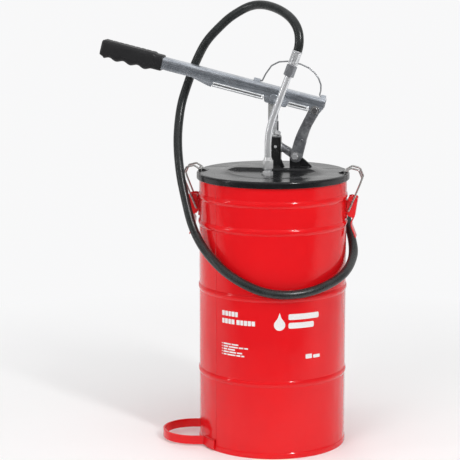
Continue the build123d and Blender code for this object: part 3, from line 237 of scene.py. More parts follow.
def bright_zinc(name="bright_zinc", tint=(0.84, 0.85, 0.87), lo=0.14, hi=0.32):
    k = Mat(name, tint, metallic=0.72, rough=0.22)
    cloud = k.noise(85.0, 5, 0.6)
    warm = k.noise(30.0, 3, 0.5)
    a = k.mix(k.remap(cloud, 0.3, 0.7, 0, 1), tuple(c * 0.80 for c in tint), tint)
    a = k.mix(k.remap(warm, 0.50, 0.72, 0, 0.35), a, (0.66, 0.64, 0.56))
    grime = k.math("MULTIPLY", k.remap(k.noise(240.0, 4, 0.7), 0.56, 0.72, 0, 1), 0.35)
    k.color(k.mix(grime, a, (0.22, 0.21, 0.20)))
    k.rough(k.remap(k.noise(190.0, 4, 0.65), 0.3, 0.7, lo, hi))
    k.soft_edges(0.0006)
    k.bump(k.noise(700.0, 3), 0.08, 0.0004)
    return k.done()


def plated(name, tint, lo, hi, metallic=0.70, dirt=0.22):
    k = Mat(name, tint, metallic=metallic, rough=(lo + hi) / 2)
    cloud = k.noise(60.0, 4, 0.55)
    a = k.mix(k.remap(cloud, 0.3, 0.7, 0, 1), tuple(c * 0.88 for c in tint), tint)
    grime = k.math("MULTIPLY", k.remap(k.noise(260.0, 4, 0.7), 0.62, 0.74, 0, 1), dirt)
    # sharp edges are lightened towards white: painted highlight
    k.color(k.mix(k.math("MULTIPLY", k.edges(0.0012, 0.84, 0.98), 0.8), k.mix(grime, a, (0.30, 0.29, 0.27)), (0.97, 0.97, 0.97)))
    k.rough(k.remap(k.noise(190.0, 4, 0.65), 0.3, 0.7, lo, hi))
    k.soft_edges(0.0007)
    k.bump(k.noise(420.0, 3), 0.03, 0.0004)
    return k.done()


def smooth_tube():
    k = Mat("bright_tube", (0.84, 0.85, 0.87), metallic=0.68, rough=0.22)
    k.color(k.mix(k.remap(k.noise(22.0, 3, 0.5), 0.35, 0.65, 0, 1), (0.78, 0.79, 0.82), (0.88, 0.885, 0.90)))
    k.rough(k.remap(k.noise(40.0, 3, 0.5), 0.3, 0.7, 0.18, 0.26))
    return k.done()


def bolt_metal():
    k = Mat("bolt_metal", (0.22, 0.22, 0.23), metallic=0.85, rough=0.32)
    g = k.noise(420.0, 4, 0.6)
    # sharp edges are lightened to near-white on a dark face: painted highlight
    k.color(k.mix(k.edges(0.0018, 0.80, 0.99), k.mix(g, (0.14, 0.14, 0.145), (0.34, 0.34, 0.35)), (0.95, 0.95, 0.95)))
    k.rough(k.remap(g, 0.3, 0.7, 0.24, 0.42))
    k.soft_edges(0.0007)
    k.bump(g, 0.20, 0.0005)
    return k.done()


def lever_zinc():
    k = Mat("pressed_zinc", (0.50, 0.54, 0.60), metallic=0.80, rough=0.3)
    tilt = math.radians(13.8)
    along = k.turned(tilt, (3, 60, 60))
    streak = k.noise(6.0, 5, 0.65, along)
    # painted shade across the channel: a darker band below the top, with the top and the lips left paler
    w = k.axis(k.turned(tilt, (1, 1, 1)), "Z")
    w0 = 0.0655 * math.sin(tilt) + 0.528 * math.cos(tilt)
    shade_band = k.math("MULTIPLY", k.remap(w, w0 + 0.0170, w0 + 0.0135, 0, 1), k.remap(w, w0 + 0.0030, w0 + 0.0085, 0, 1))
    cloud = k.noise(45.0, 4, 0.6)
    a = k.mix(k.remap(streak, 0.35, 0.68, 0, 1), (0.47, 0.51, 0.57), (0.80, 0.84, 0.90))
    a = k.mix(k.remap(cloud, 0.46, 0.66, 0, 0.42), a, (0.26, 0.28, 0.32))
    a = k.mix(k.math("MULTIPLY", shade_band, 0.55), a, (0.17, 0.19, 0.22))
    marks = k.math("MULTIPLY", k.remap(k.noise(150.0, 5, 0.75, k.mapped((1.0, 1.0, 2.2))), 0.62, 0.72, 0, 1), 0.35)
    a = k.mix(marks, a, (0.15, 0.15, 0.16))
    # sharp edges are lightened to near-white: painted highlight
    k.color(k.mix(k.math("MULTIPLY", k.edges(0.0014, 0.84, 0.98), 0.92), a, (0.93, 0.94, 0.96)))
    k.rough(k.remap(streak, 0.3, 0.7, 0.20, 0.38))
    k.soft_edges(0.0009)
    k.bump(streak, 0.05, 0.0004)
    k.bump(k.noise(120.0, 3), 0.07, 0.0006)
    return k.done()


def rough_zinc():
    k = Mat("mottled_zinc", (0.34, 0.35, 0.37), metallic=0.80, rough=0.45)
    cell = k.voronoi(150.0, out="Color")
    sep = k.n("ShaderNodeSeparateColor")
    k.link(cell, sep.inputs[0])
    cloud = k.noise(110.0, 6, 0.7)
    a = k.mix(sep.outputs[0], (0.24, 0.25, 0.27), (0.46, 0.47, 0.49))
    a = k.mix(k.remap(cloud, 0.42, 0.66, 0, 1), a, (0.13, 0.13, 0.14))
    # faces turned towards +X and the sharp edges are lightened: painted highlight
    a = k.mix(k.math("MULTIPLY", k.lit_right_face_mask(), 0.8), a, (0.80, 0.80, 0.82))
    k.color(k.mix(k.math("MULTIPLY", k.edges(0.0010, 0.84, 0.96), 0.8), a, (0.72, 0.73, 0.74)))
    k.rough(k.remap(cloud, 0.3, 0.7, 0.30, 0.58))
    k.soft_edges(0.0010)
    k.bump(cloud, 0.35, 0.0010)
    k.bump(k.noise(620.0, 3), 0.15, 0.0004)
    return k.done()


def plain_steel(name, tint, lo, hi):
    k = Mat(name, tint, metallic=1.0, rough=(lo + hi) / 2)
    turned = k.noise(14.0, 5, 0.6, k.mapped((4, 4, 160)))
    k.color(k.mix(k.remap(turned, 0.3, 0.7, 0, 1), tuple(c * 0.72 for c in tint), tint))
    k.rough(k.remap(turned, 0.3, 0.7, lo, hi))
    k.soft_edges(0.0006)
    k.bump(turned, 0.10, 0.0004)
    return k.done()


def cast_block():
    k = Mat("cast_iron_block", (0.06, 0.06, 0.062), metallic=0.8, rough=0.6)
    g = k.noise(420.0, 5, 0.7)
    k.color(k.mix(g, (0.04, 0.04, 0.042), (0.10, 0.098, 0.095)))
    k.rough(k.remap(g, 0.3, 0.7, 0.5, 0.75))
    k.soft_edges(0.0012)
    k.bump(g, 0.5, 0.0008)
    return k.done()


def grip_plastic():
    k = Mat("moulded_grip", (0.014, 0.014, 0.015), rough=0.42, spec=0.35)
    g = k.noise(900.0, 4, 0.6)
    shine = k.noise(40.0, 3, 0.5)
    rub = k.math("MULTIPLY", k.edges(0.0016, 0.80, 0.97), k.remap(k.noise(300.0, 4), 0.4, 0.65, 0.3, 1))
    k.color(k.mix(k.math("MULTIPLY", rub, 0.5), k.mix(g, (0.010, 0.010, 0.011), (0.020, 0.020, 0.021)), (0.045, 0.045, 0.047)))
    k.rough(k.remap(shine, 0.3, 0.7, 0.34, 0.52))
    k.soft_edges(0.0010)
    k.bump(k.voronoi(1100.0), 0.16, 0.0005)
    k.bump(g, 0.12, 0.0004)
    return k.done()


def hose_rubber():
    k = Mat("hose_cover", (0.022, 0.024, 0.024), rough=0.36, spec=0.55)
    g = k.noise(520.0, 5, 0.65)
    dust = k.noise(60.0, 5, 0.65)
    k.color(k.mix(k.remap(dust, 0.42, 0.74, 0, 0.5), (0.013, 0.015, 0.015), (0.040, 0.043, 0.044)))
    k.rough(k.remap(g, 0.3, 0.7, 0.22, 0.36))
    k.bump(k.noise(95.0, 2), 0.08, 0.0008)
    k.bump(g, 0.08, 0.0004)
    return k.done()


def seal_rubber():
    k = Mat("moulded_rubber", (0.018, 0.018, 0.018), rough=0.6)
    g = k.noise(600.0, 4, 0.6)
    k.color(k.mix(g, (0.013, 0.013, 0.013), (0.03, 0.03, 0.03)))
    k.rough(k.remap(g, 0.3, 0.7, 0.5, 0.7))
    k.bump(g, 0.2, 0.0005)
    return k.done()


def weld_metal(name, tint, metallic, rough):
    k = Mat(name, tint, metallic=metallic, rough=rough, coat=0.3)
    g = k.noise(300.0, 4, 0.6)
    k.color(k.mix(g, tuple(c * 0.7 for c in tint), tint))
    k.rough(k.remap(g, 0.3, 0.7, rough * 0.8, min(1.0, rough * 1.3)))
    k.bump(g, 0.3, 0.0006)
    return k.done()


def print_ink():
    k = Mat("white_screen_print", (0.78, 0.77, 0.76), rough=0.34, coat=0.3)
    g = k.noise(800.0, 4, 0.7)
    k.color(k.mix(k.remap(g, 0.35, 0.75, 0, 1), (0.72, 0.70, 0.69), (0.86, 0.85, 0.85)))
    k.rough(k.remap(g, 0.3, 0.7, 0.28, 0.42))
    k.bump(g, 0.08, 0.0003)
    return k.done()


MATS = {
    "drum_paint": drum_paint(), "latch_paint": latch_paint(), "black_paint": black_paint(),
    "bright_zinc": bright_zinc(), "lever_zinc": lever_zinc(), "rough_zinc": rough_zinc(),
    "rod_steel": plain_steel("ground_rod", (0.74, 0.75, 0.77), 0.10, 0.22),
    "bare_steel": plain_steel("oiled_steel", (0.42, 0.42, 0.43), 0.25, 0.45),
    "cast_block": cast_block(), "grip_plastic": grip_plastic(), "hose_rubber": hose_rubber(), "seal_rubber": seal_rubber(),
}
INK = print_ink()
WELD_RED = weld_metal("painted_weld_red", (0.70, 0.008, 0.012), 0.0, 0.28)
WELD_BLACK = weld_metal("painted_weld_black", (0.007, 0.007, 0.008), 0.0, 0.22)

PIPE = smooth_tube()
# the near-white lip rim material below is a painted highlight, and the dark lip material after it is painted shade
LIP_RIM_HIGHLIGHT = plated("rolled_lip_painted_highlight", (0.94, 0.95, 0.96), 0.16, 0.24, 0.40)
LIP_SHADE = plated("lip_painted_shade", (0.05, 0.05, 0.055), 0.40, 0.55, 0.50)
FITTING = plated("bright_fitting", (0.90, 0.90, 0.91), 0.12, 0.22, 0.62)
WIRE = bright_zinc("drawn_wire", (0.42, 0.43, 0.45), 0.24, 0.40)
LATCH_WIRE = bright_zinc("latch_wire", (0.58, 0.57, 0.56), 0.16, 0.34)
BOLT = bolt_metal()
DULL = bright_zinc("dull_nut", (0.33, 0.34, 0.36), 0.26, 0.45)
PER_NODE = {"discharge_pipe": PIPE, "outlet_fitting": FITTING, "pipe_nut_lower": FITTING, "bleed_screw": FITTING,
            "lever_pin": MATS["lever_zinc"], "latch_pin_left": MATS["latch_paint"], "latch_pin_right": MATS["latch_paint"], "link_bolt": BOLT, "link_washers": BOLT, "fulcrum_washers": BOLT, "brace_strut": MATS["rough_zinc"], "pipe_nut_upper": DULL, "wire_bail": WIRE, "latch_bail_left": LATCH_WIRE, "latch_bail_right": LATCH_WIRE}
for sub in frame["record"]["subparts"]:
    o = NODES[sub["node"]]
    o.data.materials.clear()
    o.data.materials.append(PER_NODE.get(sub["node"], MATS[sub["material_slot"]]))
    for p in o.data.polygons:
        p.use_smooth = True
        p.material_index = 0


# ---------------------------------------------------------------- mesh helpers
def mesh_piece(name, verts, faces, mat, body="root", smooth=True):
    me = bpy.data.meshes.new(name)
    me.from_pydata([tuple(v) for v in verts], [], faces)
    me.validate()
    me.update()
    bm = bmesh.new()
    bm.from_mesh(me)
    bmesh.ops.recalc_face_normals(bm, faces=bm.faces)
    bm.to_mesh(me)
    bm.free()
    for p in me.polygons:
        p.use_smooth = smooth
    me.materials.append(mat)
    o = bpy.data.objects.new(name, me)
    bpy.context.scene.collection.objects.link(o)
    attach(o, body)
    return o


def frames(path):
    """Points and turning frames along a path, with no twist."""
    pts = [Vector(p) for p in path]
    tan = []
    for i in range(len(pts)):
        a, b = pts[max(0, i - 1)], pts[min(len(pts) - 1, i + 1)]
        tan.append((b - a).normalized())
    ref = Vector((0, 0, 1)) if abs(tan[0].z) < 0.9 else Vector((0, 1, 0))
    u = (ref - tan[0] * ref.dot(tan[0])).normalized()
    out = []
    for p, t in zip(pts, tan):
        u = (u - t * u.dot(t)).normalized()
        out.append((p, t, u, t.cross(u)))
    return out


def tube(path, radius, segs=12, closed=False):
    """Vertices and faces of a tube; radius is a number or f(i, angle)."""
    fr = frames(path)
    verts, faces = [], []
    for i, (p, t, u, v) in enumerate(fr):
        for j in range(segs):
            a = 2 * math.pi * j / segs
            r = radius(i, a) if callable(radius) else radius
            verts.append(p + (u * math.cos(a) + v * math.sin(a)) * r)
    n = len(fr)
    for i in range(n - (0 if closed else 1)):
        for j in range(segs):
            a, b = i * segs + j, i * segs + (j + 1) % segs
            c, d = ((i + 1) % n) * segs + (j + 1) % segs, ((i + 1) % n) * segs + j
            faces.append((a, b, c, d))
    if not closed:
        faces.append(tuple(range(segs)))
        faces.append(tuple((n - 1) * segs + j for j in range(segs)))
    return verts, faces


def join_parts(parts):
    verts, faces = [], []
    for v, f in parts:
        k = len(verts)
        verts += list(v)
        faces += [tuple(i + k for i in x) for x in f]
    return verts, faces


def lathe(profile, segs=64, centre=(0, 0), flute=None):
    """Solid of revolution about a vertical axis; profile is (r, z) in mm, closed at both ends."""
    verts, faces = [], []
    n = len(profile)
    for j in range(segs):
        a = 2 * math.pi * j / segs
        for i, (r, z) in enumerate(profile):
            rr = flute(i, a, r) if flute else r
            verts.append(Vector(((centre[0] + rr * math.cos(a)) * MM, (centre[1] + rr * math.sin(a)) * MM, z * MM)))
    for j in range(segs):
        for i in range(n - 1):
            a, b = j * n + i, ((j + 1) % segs) * n + i
            faces.append((a, b, b + 1, a + 1))
    return verts, faces


def weld(path_mm, r_mm, seed=0):
    """A rippled weld bead along a path in mm."""
    rr = random.Random(seed)
    pts = []
    total = 0
    P = [Vector(p) * MM for p in path_mm]
    for a, b in zip(P, P[1:]):
        steps = max(2, int((b - a).length / 0.0005))
        for k in range(steps):
            pts.append(a.lerp(b, k / steps))
    pts.append(P[-1])
    jit = [rr.uniform(0.9, 1.1) for _ in pts]

    def rad(i, a):
        end = min(1.0, (i + 1) / 4, (len(pts) - i) / 4)
        return r_mm * MM * jit[i] * (0.86 + 0.14 * math.cos(i * 0.9)) * (0.55 + 0.45 * end)
    return tube(pts, rad, 10)


# ---------------------------------------------------------------- drum details
def on_wall(phi, z, r=115.0):
    a = math.radians(phi)
    return (r * math.cos(a), r * math.sin(a), z)


def patch(phi0, phi1, z0, z1, corner=0.8, r=115.18, hole=None):
    """A rounded rectangle of ink lying on the wall."""
    w, h = math.radians(phi1 - phi0) * 115.0, z1 - z0
    c = min(corner, w / 2 - 0.01, h / 2 - 0.01)
    out = []
    for (cx, cz, a0) in ((w - c, h - c, 0), (c, h - c, 90), (c, c, 180), (w - c, c, 270)):
        for k in range(5):
            a = math.radians(a0 + 22.5 * k)
            out.append((cx + c * math.cos(a), cz + c * math.sin(a)))
    return flat_on_wall(out, phi0, z0, r)


def flat_on_wall(outline, phi0, z0, r=115.18):
    """Fills a closed outline given as (arc mm, height mm) and wraps it on the wall."""
    bm = bmesh.new()
    vs = [bm.verts.new((x, z, 0)) for x, z in outline]
    bm.faces.new(vs)
    bmesh.ops.triangulate(bm, faces=bm.faces)
    xs = [p[0] for p in outline]
    x = math.floor(min(xs)) + 1.5
    while x < max(xs):
        bmesh.ops.bisect_plane(bm, geom=bm.verts[:] + bm.edges[:] + bm.faces[:], plane_co=(x, 0, 0), plane_no=(1, 0, 0))
        x += 1.5
    bm.verts.ensure_lookup_table()
    verts = []
    for v in bm.verts:
        phi = phi0 + math.degrees(v.co.x / 115.0)
        verts.append(Vector(on_wall(phi, z0 + v.co.y, r)) * MM)
    faces = [tuple(v.index for v in f.verts) for f in bm.faces]
    bm.verts.index_update()
    faces = [tuple(v.index for v in f.verts) for f in bm.faces]
    bm.free()
    return verts, faces


def word_row(phi0, z0, h, words, gap=1.6, space=3.4, corner=0.5):
    """A line of plain blocks; no letters."""
    out, x = [], 0.0
    for widths in words:
        for w in widths:
            p0 = phi0 + math.degrees(x / 115.0)
            out.append(patch(p0, p0 + math.degrees(w / 115.0), z0, z0 + h, corner))
            x += w + gap
        x += space - gap
    return out


ink = []
# heading: two lines of plain blocks
ink += word_row(-125.6, 220.6, 7.6, [(5.2, 5.4, 4.4, 5.6, 4.6)], gap=1.0, corner=0.7)
ink += word_row(-125.6, 208.6, 7.6, [(4.8, 5.4, 4.8, 5.4), (5.6, 4.8, 5.4, 5.2, 5.4)], gap=1.0, space=3.6, corner=0.7)
# a plain round drop badge with bars beside it
drop = []
for k in range(25):
    t = k / 24.0
    a = math.radians(-50 + 280 * t)
    drop.append((9.0 + 7.4 * math.cos(a), 8.2 + 7.4 * math.sin(a)))
ang = math.radians(50)
drop = [(9.4 + 8.6 * math.cos(math.radians(30 - k * 240 / 24)), 9.4 + 8.6 * math.sin(math.radians(30 - k * 240 / 24))) for k in range(25)]
drop += [(6.6, 20.2), (9.4, 28.6), (12.2, 20.2)]
ink.append(flat_on_wall(drop, -83.0, 202.0))
ink.append(patch(-71.5, -46.0, 219.0, 228.0, 2.4))
ink.append(patch(-71.5, -50.5, 205.5, 214.5, 2.4))
# five short lines, each with a dot
for row, words in enumerate([(14, 12), (9, 16, 8, 6), (7, 13), (10, 12, 9), (6, 15, 7, 5)]):
    z = 175.6 - row * 4.15
    ink.append(patch(-126.0, -125.1, z + 0.2, z + 2.0, 0.9))
    ink += word_row(-124.2, z, 2.2, [(w,) for w in words], space=1.5, corner=0.4)
# small mark low on the right
ink.append(patch(-57.5, -52.0, 156.5, 163.5, 1.2))
ink.append(patch(-50.8, -44.6, 156.5, 161.5, 1.2))
v, f = join_parts(ink)
print_obj = mesh_piece("drum_print", v, f, INK, "root")

# side seam of the rolled sheet: a thin lapped ridge up the wall, stepping out over each bead
seam = []
PHI_S = -132.5
verts, faces = [], []
zs = [9.5 + i * (413.0 - 9.5) / 340 for i in range(341)]


def wall_r(z):
    r = 115.0
    for zb in (118.0, 251.0, 353.0, 395.0):
        if abs(z - zb) < 5:
            r = 115.0 + 1.7 * math.cos((z - zb) / 5 * math.pi / 2) ** 1.2
    return r


for z in zs:
    for (dp, dr) in ((-0.62, -0.02), (-0.50, 0.34), (0.10, 0.40), (0.30, 0.34), (0.42, -0.02)):
        verts.append(Vector(on_wall(PHI_S + dp, z, wall_r(z) + dr)) * MM)
for i in range(len(zs) - 1):
    for j in range(4):
        a = i * 5 + j
        faces.append((a, a + 1, a + 6, a + 5))
mesh_piece("drum_seam", verts, faces, MATS["drum_paint"], "root")

# weld beads: foot loop to wall, latch brackets to wall, pump foot and gussets to lid
red_welds, black_welds = [], []
for ph0, ph1, z in ((187 + 24, 187 + 39, 16.8), (187 - 39, 187 - 24, 16.8)):
    red_welds.append(weld([on_wall(ph0 + (ph1 - ph0) * k / 6, z, 116.4) for k in range(7)], 1.25, int(ph0)))
for side in (1, -1):
    for y in (-10.2, 10.2):
        red_welds.append(weld([(side * 114.9, y, 362), (side * 114.9, y, 375), (side * 114.9, y, 387)], 1.1, int(y + 50)))
v, f = join_parts(red_welds)
mesh_piece("painted_welds_red", v, f, WELD_RED, "root")
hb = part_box("pump_head")
x0, x1 = hb[0].x * 1000 + 5.5, hb[1].x * 1000 - 5.5
zt = hb[0].z * 1000
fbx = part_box("foot_bracket")
fx0, fx1 = fbx[0].x * 1000, fbx[1].x * 1000
for path, r, sd in (
    ([(x0, -8.3, zt + 0.3), (x1, -8.3, zt + 0.3)], 1.5, 1), ([(x0, 8.3, zt + 0.3), (x1, 8.3, zt + 0.3)], 1.5, 2),
    ([(27.4, -8.4, zt + 0.3), (42.8, -8.4, zt + 0.3)], 1.4, 3), ([(27.4, 8.4, zt + 0.3), (42.8, 8.4, zt + 0.3)], 1.4, 4),
    ([(44.0, -5.8, zt + 0.2), (58.0, -5.8, zt + 0.2)], 0.9, 5), ([(44.0, -1.2, zt + 0.2), (58.0, -1.2, zt + 0.2)], 0.9, 6),
):
    black_welds.append(weld(path, r, sd))
v, f = join_parts(black_welds)
mesh_piece("painted_welds_black", v, f, WELD_BLACK, "root")

# weld collar where the brace meets the pump head
bc = Vector((13.4, 0, 468.6))
uu = Vector((0, 1, 0))
ring = [bc + (uu * math.cos(a) + Vector((0, 0, 1)) * math.sin(a) * 1.12) * 6.2 for a in [2 * math.pi * k / 60 for k in range(60)]]
v, f = tube([p * MM for p in ring], lambda i, a: (1.15 + 0.15 * math.cos(i * 2.1)) * MM, 10, closed=True)
mesh_piece("brace_weld", v, f, MATS["bright_zinc"], "root")


# ---------------------------------------------------------------- grip
TILT = math.radians(13.8)
EU = Vector((-math.cos(TILT), 0, math.sin(TILT)))
EW = Vector((math.sin(TILT), 0, math.cos(TILT)))


def on_lever(u, y, w):
    """Point in mm from distance towards the grip, sideways offset and height on the lever channel."""
    return Vector((65.5, 0, 528.0)) + EU * u + Vector((0, y, 0)) + EW * w


def knob(center, r):
    pts = [(center - EU * r * math.cos(math.pi * (0.02 + 0.96 * k / 12))) * MM for k in range(13)]
    return tube(pts, lambda i, a: r * math.sin(math.pi * (0.02 + 0.96 * i / 12)) * MM, 14)


# rolled lips: rounded rims in a near-white painted highlight with a dark tube of painted shade between them, swollen at
# the right-hand ends
rims, lip_shade_tubes = [], []
for side in (1, -1):
    for u0, u1 in ((11.2, 41.4), (82.8, 162.2)):
        for y, w, r, into in ((13.9, 1.9, 1.05, rims), (15.0, 0.2, 0.75, lip_shade_tubes), (17.7, -1.7, 1.10, rims)):
            line = [on_lever(u0 + (u1 - u0) * k / 24, side * y, w) * MM for k in range(25)]
            into.append(tube(line, r * MM, 12))
            for u in (u0, u1):
                into.append(knob(on_lever(u, side * y, w), r))
        rims.append(knob(on_lever(u0 + 0.6, side * 15.2, 1.2), 2.6))
v, f = join_parts(rims)
mesh_piece("lever_lip_highlight_rims", v, f, LIP_RIM_HIGHLIGHT, "lever")
v, f = join_parts(lip_shade_tubes)
mesh_piece("lever_lip_painted_shade", v, f, LIP_SHADE, "lever")
B3 = Vector((65.5, 0, 528.0))


def lev(u, w, y=0.0):
    return (B3 + EU * u + EW * w + Vector((0, y, 0))) * MM


def smooth01(t):
    t = max(0.0, min(1.0, t))
    return t * t * (3 - 2 * t)


def grip_mesh():
    rings = []
    us = [247.5, 247.6, 248.4, 250.0, 253.0, 256.0, 257.6, 258.6, 259.4]
    u = 260.2
    while u < 343.0:
        us.append(u)
        u += 0.9
    us += [343.6, 344.6, 345.4, 345.9, 346.2]
    n = 48
    for u in us:
        if u < 259.0:
            k = smooth01((u - 247.4) / 1.4)
            half, wt, wb, c = 13.6 + 0.8 * k, 21.4 + 0.9 * k, -1.4 - 0.6 * k, 3.2
        else:
            t = smooth01((u - 259.0) / 5.0)
            half = 14.4 + 1.0 * t
            wt = 22.3 + 1.7 * t
            # finger waves
            ph = (u - 262.0) / 22.8 * 2 * math.pi
            amp = smooth01((u - 260.0) / 5.0) * smooth01((342.0 - u) / 4.0)
            wb = -2.0 - 1.9 * amp * (1 - math.cos(ph)) / 2 * 1.8
            e = smooth01((346.4 - u) / 4.2)
            half = half * (0.90 + 0.10 * e) if u > 342 else half
            wt = wt - 1.8 * (1 - e) if u > 342 else wt
            wb = wb + 1.4 * (1 - e) if u > 342 else wb
            c = 4.0
        # moulded grooves across the top
        groove = 0.0
        if 266 < u < 338:
            g = (u - 266) % 9.0
            groove = 0.55 * math.exp(-((g - 4.5) / 0.8) ** 2)
        ring = []
        for j in range(n):
            a = 2 * math.pi * j / n
            # superellipse-like rounded rectangle
            hw, hh = half, (wt - wb) / 2
            ca, sa = math.cos(a), math.sin(a)
            p = 5.5
            r = 1.0 / ((abs(ca) ** p + abs(sa) ** p) ** (1 / p))
            y, w = hw * ca * r, (wt + wb) / 2 + hh * sa * r
            if sa > 0.55 and abs(y) < half - 3.0:
                w -= groove * smooth01((half - 3.0 - abs(y)) / 1.2)
            if sa > 0.8 and 263 < u < 341 and abs(y) < half - 2.6:
                w -= 0.35
            ring.append(lev(u, w, y))
        rings.append(ring)
    verts = [p for ring in rings for p in ring]
    faces = []
    for i in range(len(rings) - 1):
        for j in range(n):
            a, b = i * n + j, i * n + (j + 1) % n
            faces.append((a, b, b + n, a + n))
    faces.append(tuple(range(n)))
    faces.append(tuple((len(rings) - 1) * n + j for j in range(n)))
    return verts, faces


v, f = grip_mesh()
grip = mesh_piece("moulded_grip", v, f, MATS["grip_plastic"], "lever")
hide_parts("grip")


# ---------------------------------------------------------------- crimped ferrules
def ferrule(origin, axis, length, r, name, node, flutes=8):
    axis = Vector(axis).normalized()
    ref = Vector((0, 1, 0))
    u = (ref - axis * ref.dot(axis)).normalized()
    w = axis.cross(u)
    prof = [(0.0, 5.9), (0.0, 6.2), (1.2, 6.3), (2.0, 6.4), (2.1, r - 0.5), (2.5, r), (3.6, r), (4.2, r), (4.8, r)]
    k = 5.4
    while k < length - 3.2:
        prof.append((k, r))
        k += 0.6
    prof += [(length - 3.0, r), (length - 2.4, r), (length - 0.7, r), (length - 0.2, r - 0.35), (length, r - 0.8), (length - 0.1, 6.95), (length - 4.0, 6.92)]
    segs = 96
    verts, faces = [], []
    for (t, rad) in prof:
        crimp = smooth01((t - 4.4) / 1.0) * smooth01((length - 2.8 - t) / 1.0) if rad == r else 0.0
        for j in range(segs):
            a = 2 * math.pi * j / segs
            d = 0.62 * crimp * (1 - abs(math.sin(flutes * a / 2)) ** 3)
            p = Vector(origin) + axis * t + (u * math.cos(a) + w * math.sin(a)) * (rad - d)
            verts.append(p * MM)
    for i in range(len(prof) - 1):
        for j in range(segs):
            a, b = i * segs + j, i * segs + (j + 1) % segs
            faces.append((a, b, b + segs, a + segs))
    o = mesh_piece(name, verts, faces, MATS["bright_zinc"], "root")
    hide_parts(node)
    return o


s20, c20 = math.sin(math.radians(20)), math.cos(math.radians(20))
T0 = 106.5
ferrule((-2 + s20 * T0, -55, 500 + c20 * T0), (s20, 0, c20), 23.5, 7.7, "crimped_ferrule_top", "hose_ferrule")
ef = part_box("end_ferrule")
cx, cy = (ef[0].x + ef[1].x) * 500, (ef[0].y + ef[1].y) * 500
ferrule((cx, cy, ef[0].z * 1000), (0, 0, 1), 22.0, 7.7, "crimped_ferrule_end", "end_ferrule")

# threads showing between the outlet fitting's hex and its nut
th = []
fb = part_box("outlet_fitting")
for k in range(4):
    z = 438.7 + k * 1.0
    ringp = [Vector((-2 + 5.75 * math.cos(a), -55 + 5.75 * math.sin(a), z)) * MM for a in [2 * math.pi * i / 48 for i in range(48)]]
    th.append(tube(ringp, 0.36 * MM, 8, closed=True))
v, f = join_parts(th)
mesh_piece("outlet_thread", v, f, MATS["bright_zinc"], "root")

# ---------------------------------------------------------------- studio
floor_m = Mat("pale_floor", (0.93, 0.93, 0.93), rough=0.6)
fn = floor_m.noise(3.0, 4, 0.6)
floor_m.color(floor_m.mix(fn, (0.92, 0.92, 0.92), (0.95, 0.95, 0.95)))
floor_m.rough(floor_m.remap(fn, 0.3, 0.7, 0.55, 0.7))
floor_m.bump(floor_m.noise(400.0, 3), 0.03, 0.0005)
verts, faces = [], []
prof = [(-14.0, 0.0), (14.0, 0.0)]
for (y, z) in prof:
    verts += [Vector((-14, y, z)), Vector((14, y, z))]
for i in range(len(prof) - 1):
    faces.append((2 * i, 2 * i + 1, 2 * i + 3, 2 * i + 2))
me = bpy.data.meshes.new("floor")
me.from_pydata([tuple(p) for p in verts], [], faces)
fm = floor_m.done()
ft = fm.node_tree
fout = next(n for n in ft.nodes if n.type == "OUTPUT_MATERIAL")
fl = ft.nodes.new("ShaderNodeVectorMath")
fl.operation = "LENGTH"
ft.links.new(floor_m.co, fl.inputs[0])
fade = floor_m.remap(fl.outputs["Value"], 0.25, 1.1, 0.0, 1.0)
flp = ft.nodes.new("ShaderNodeLightPath")
ffac = floor_m.math("MULTIPLY", fade, flp.outputs["Is Camera Ray"])
fem = ft.nodes.new("ShaderNodeEmission")
fem.inputs["Color"].default_value = (0.94, 0.94, 0.945, 1)
fmx = ft.nodes.new("ShaderNodeMixShader")
ft.links.new(ffac, fmx.inputs[0])
ft.links.new(floor_m.b.outputs[0], fmx.inputs[1])
ft.links.new(fem.outputs[0], fmx.inputs[2])
fsep = ft.nodes.new("ShaderNodeSeparateXYZ")
ft.links.new(floor_m.co, fsep.inputs[0])
front = floor_m.remap(fsep.outputs[1], -0.75, -0.20, 1.0, 0.0)
gfac = floor_m.math("MULTIPLY", front, flp.outputs["Is Glossy Ray"])
dark = ft.nodes.new("ShaderNodeEmission")
dark.inputs["Color"].default_value = (0.07, 0.07, 0.07, 1)
fm2 = ft.nodes.new("ShaderNodeMixShader")
ft.links.new(gfac, fm2.inputs[0])
ft.links.new(fmx.outputs[0], fm2.inputs[1])
ft.links.new(dark.outputs[0], fm2.inputs[2])
ft.links.new(fm2.outputs[0], fout.inputs[0])
me.materials.append(fm)
floor = bpy.data.objects.new("floor", me)
bpy.context.scene.collection.objects.link(floor)

world = bpy.data.worlds.new("studio")
bpy.context.scene.world = world
world.use_nodes = True
wt = world.node_tree
bg = next(n for n in wt.nodes if n.type == "BACKGROUND")
out = next(n for n in wt.nodes if n.type == "OUTPUT_WORLD")


def wn(kind, **kw):
    node = wt.nodes.new(kind)
    for k, v in kw.items():
        setattr(node, k, v)
    return node


def wmath(op, x, y=0.0, z=0.0):
    node = wn("ShaderNodeMath", operation=op)
    for i, val in enumerate((x, y, z)):
        if isinstance(val, (int, float)):
            node.inputs[i].default_value = val
        else:
            wt.links.new(val, node.inputs[i])
    return node.outputs[0]


def wstep(val, lo, hi, c, d):
    node = wn("ShaderNodeMapRange", interpolation_type="SMOOTHSTEP")
    for key, x in zip(("From Min", "From Max", "To Min", "To Max"), (lo, hi, c, d)):
        node.inputs[key].default_value = x
    wt.links.new(val, node.inputs["Value"])
    return node.outputs["Result"]


tc = wn("ShaderNodeTexCoord")
sep = wn("ShaderNodeSeparateXYZ")
wt.links.new(tc.outputs["Generated"], sep.inputs[0])
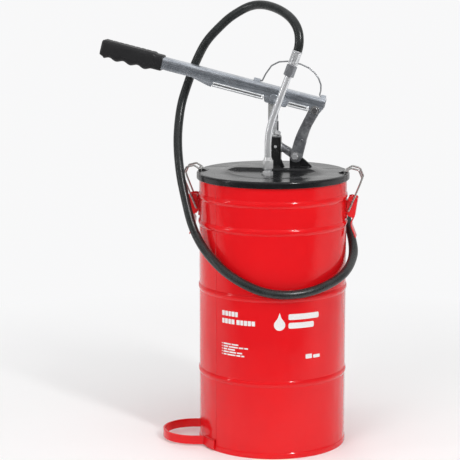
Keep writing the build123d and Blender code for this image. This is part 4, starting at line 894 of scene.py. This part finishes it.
# what shiny surfaces see: a dark room in front, white walls behind and beside, a bright ceiling
walls = wstep(sep.outputs[1], 0.30, 0.62, 0.34, 0.90)
low = wstep(sep.outputs[2], -0.02, 0.30, 0.0, 1.0)
ceil = wstep(sep.outputs[2], 0.45, 0.80, 0.0, 0.75)
gloss = wmath("MAXIMUM", walls, ceil)
lp = wn("ShaderNodeLightPath")
g_bg = wn("ShaderNodeBackground")
wt.links.new(gloss, g_bg.inputs["Strength"])
d_bg = bg
d_bg.inputs["Color"].default_value = (1, 1, 1, 1)
d_bg.inputs["Strength"].default_value = 0.50
white = wn("ShaderNodeBackground")
white.inputs["Color"].default_value = (0.94, 0.94, 0.945, 1)
m1 = wn("ShaderNodeMixShader")
wt.links.new(lp.outputs["Is Glossy Ray"], m1.inputs[0])
wt.links.new(d_bg.outputs[0], m1.inputs[1])
wt.links.new(g_bg.outputs[0], m1.inputs[2])
mixw = wn("ShaderNodeMixShader")
wt.links.new(lp.outputs["Is Camera Ray"], mixw.inputs[0])
wt.links.new(m1.outputs[0], mixw.inputs[1])
wt.links.new(white.outputs[0], mixw.inputs[2])
wt.links.new(mixw.outputs[0], out.inputs[0])


def area(name, loc, target, size, power, size_y=None):
    d = bpy.data.lights.new(name, "AREA")
    d.shape = "RECTANGLE"
    d.size, d.size_y = size, size_y or size
    d.energy = power
    o = bpy.data.objects.new(name, d)
    bpy.context.scene.collection.objects.link(o)
    o.location = loc
    o.rotation_mode = "QUATERNION"
    o.rotation_quaternion = (Vector(target) - Vector(loc)).to_track_quat("-Z", "Y")
    return o


area("key", (1.62, -1.87, 2.1), (0, 0, 0.30), 0.22, 35, 1.10)
strip = area("strip", (-2.6, -1.2, 1.0), (0, 0, 0.30), 0.18, 7, 1.8)
soft = area("soft", (-1.2, -2.6, 1.6), (0, 0, 0.25), 1.2, 24)
soft.visible_glossy = False
top = area("top", (0.1, -0.4, 2.6), (0, 0, 0.35), 1.2, 13)
top.visible_glossy = False
rim = area("rim", (-0.9, 2.3, 1.5), (0, 0, 0.35), 1.0, 10)
rim.visible_glossy = False

cam_d = bpy.data.cameras.new("camera")
cam_d.sensor_width = 36.0
cam_d.lens = 135.3
cam_d.clip_start, cam_d.clip_end = 0.05, 60
cam = bpy.data.objects.new("camera", cam_d)
bpy.context.scene.collection.objects.link(cam)
cam.location = (0.28814, -2.65239, 0.82300)
fwd = Vector((-0.13080, 0.97509, -0.17915)).normalized()
cam.rotation_mode = "QUATERNION"
cam.rotation_quaternion = fwd.to_track_quat("-Z", "Y")
bpy.context.scene.camera = cam
bpy.context.scene.view_settings.view_transform = "Standard"
bpy.context.scene.view_settings.look = "None"
bpy.context.scene.view_settings.exposure = 0.0
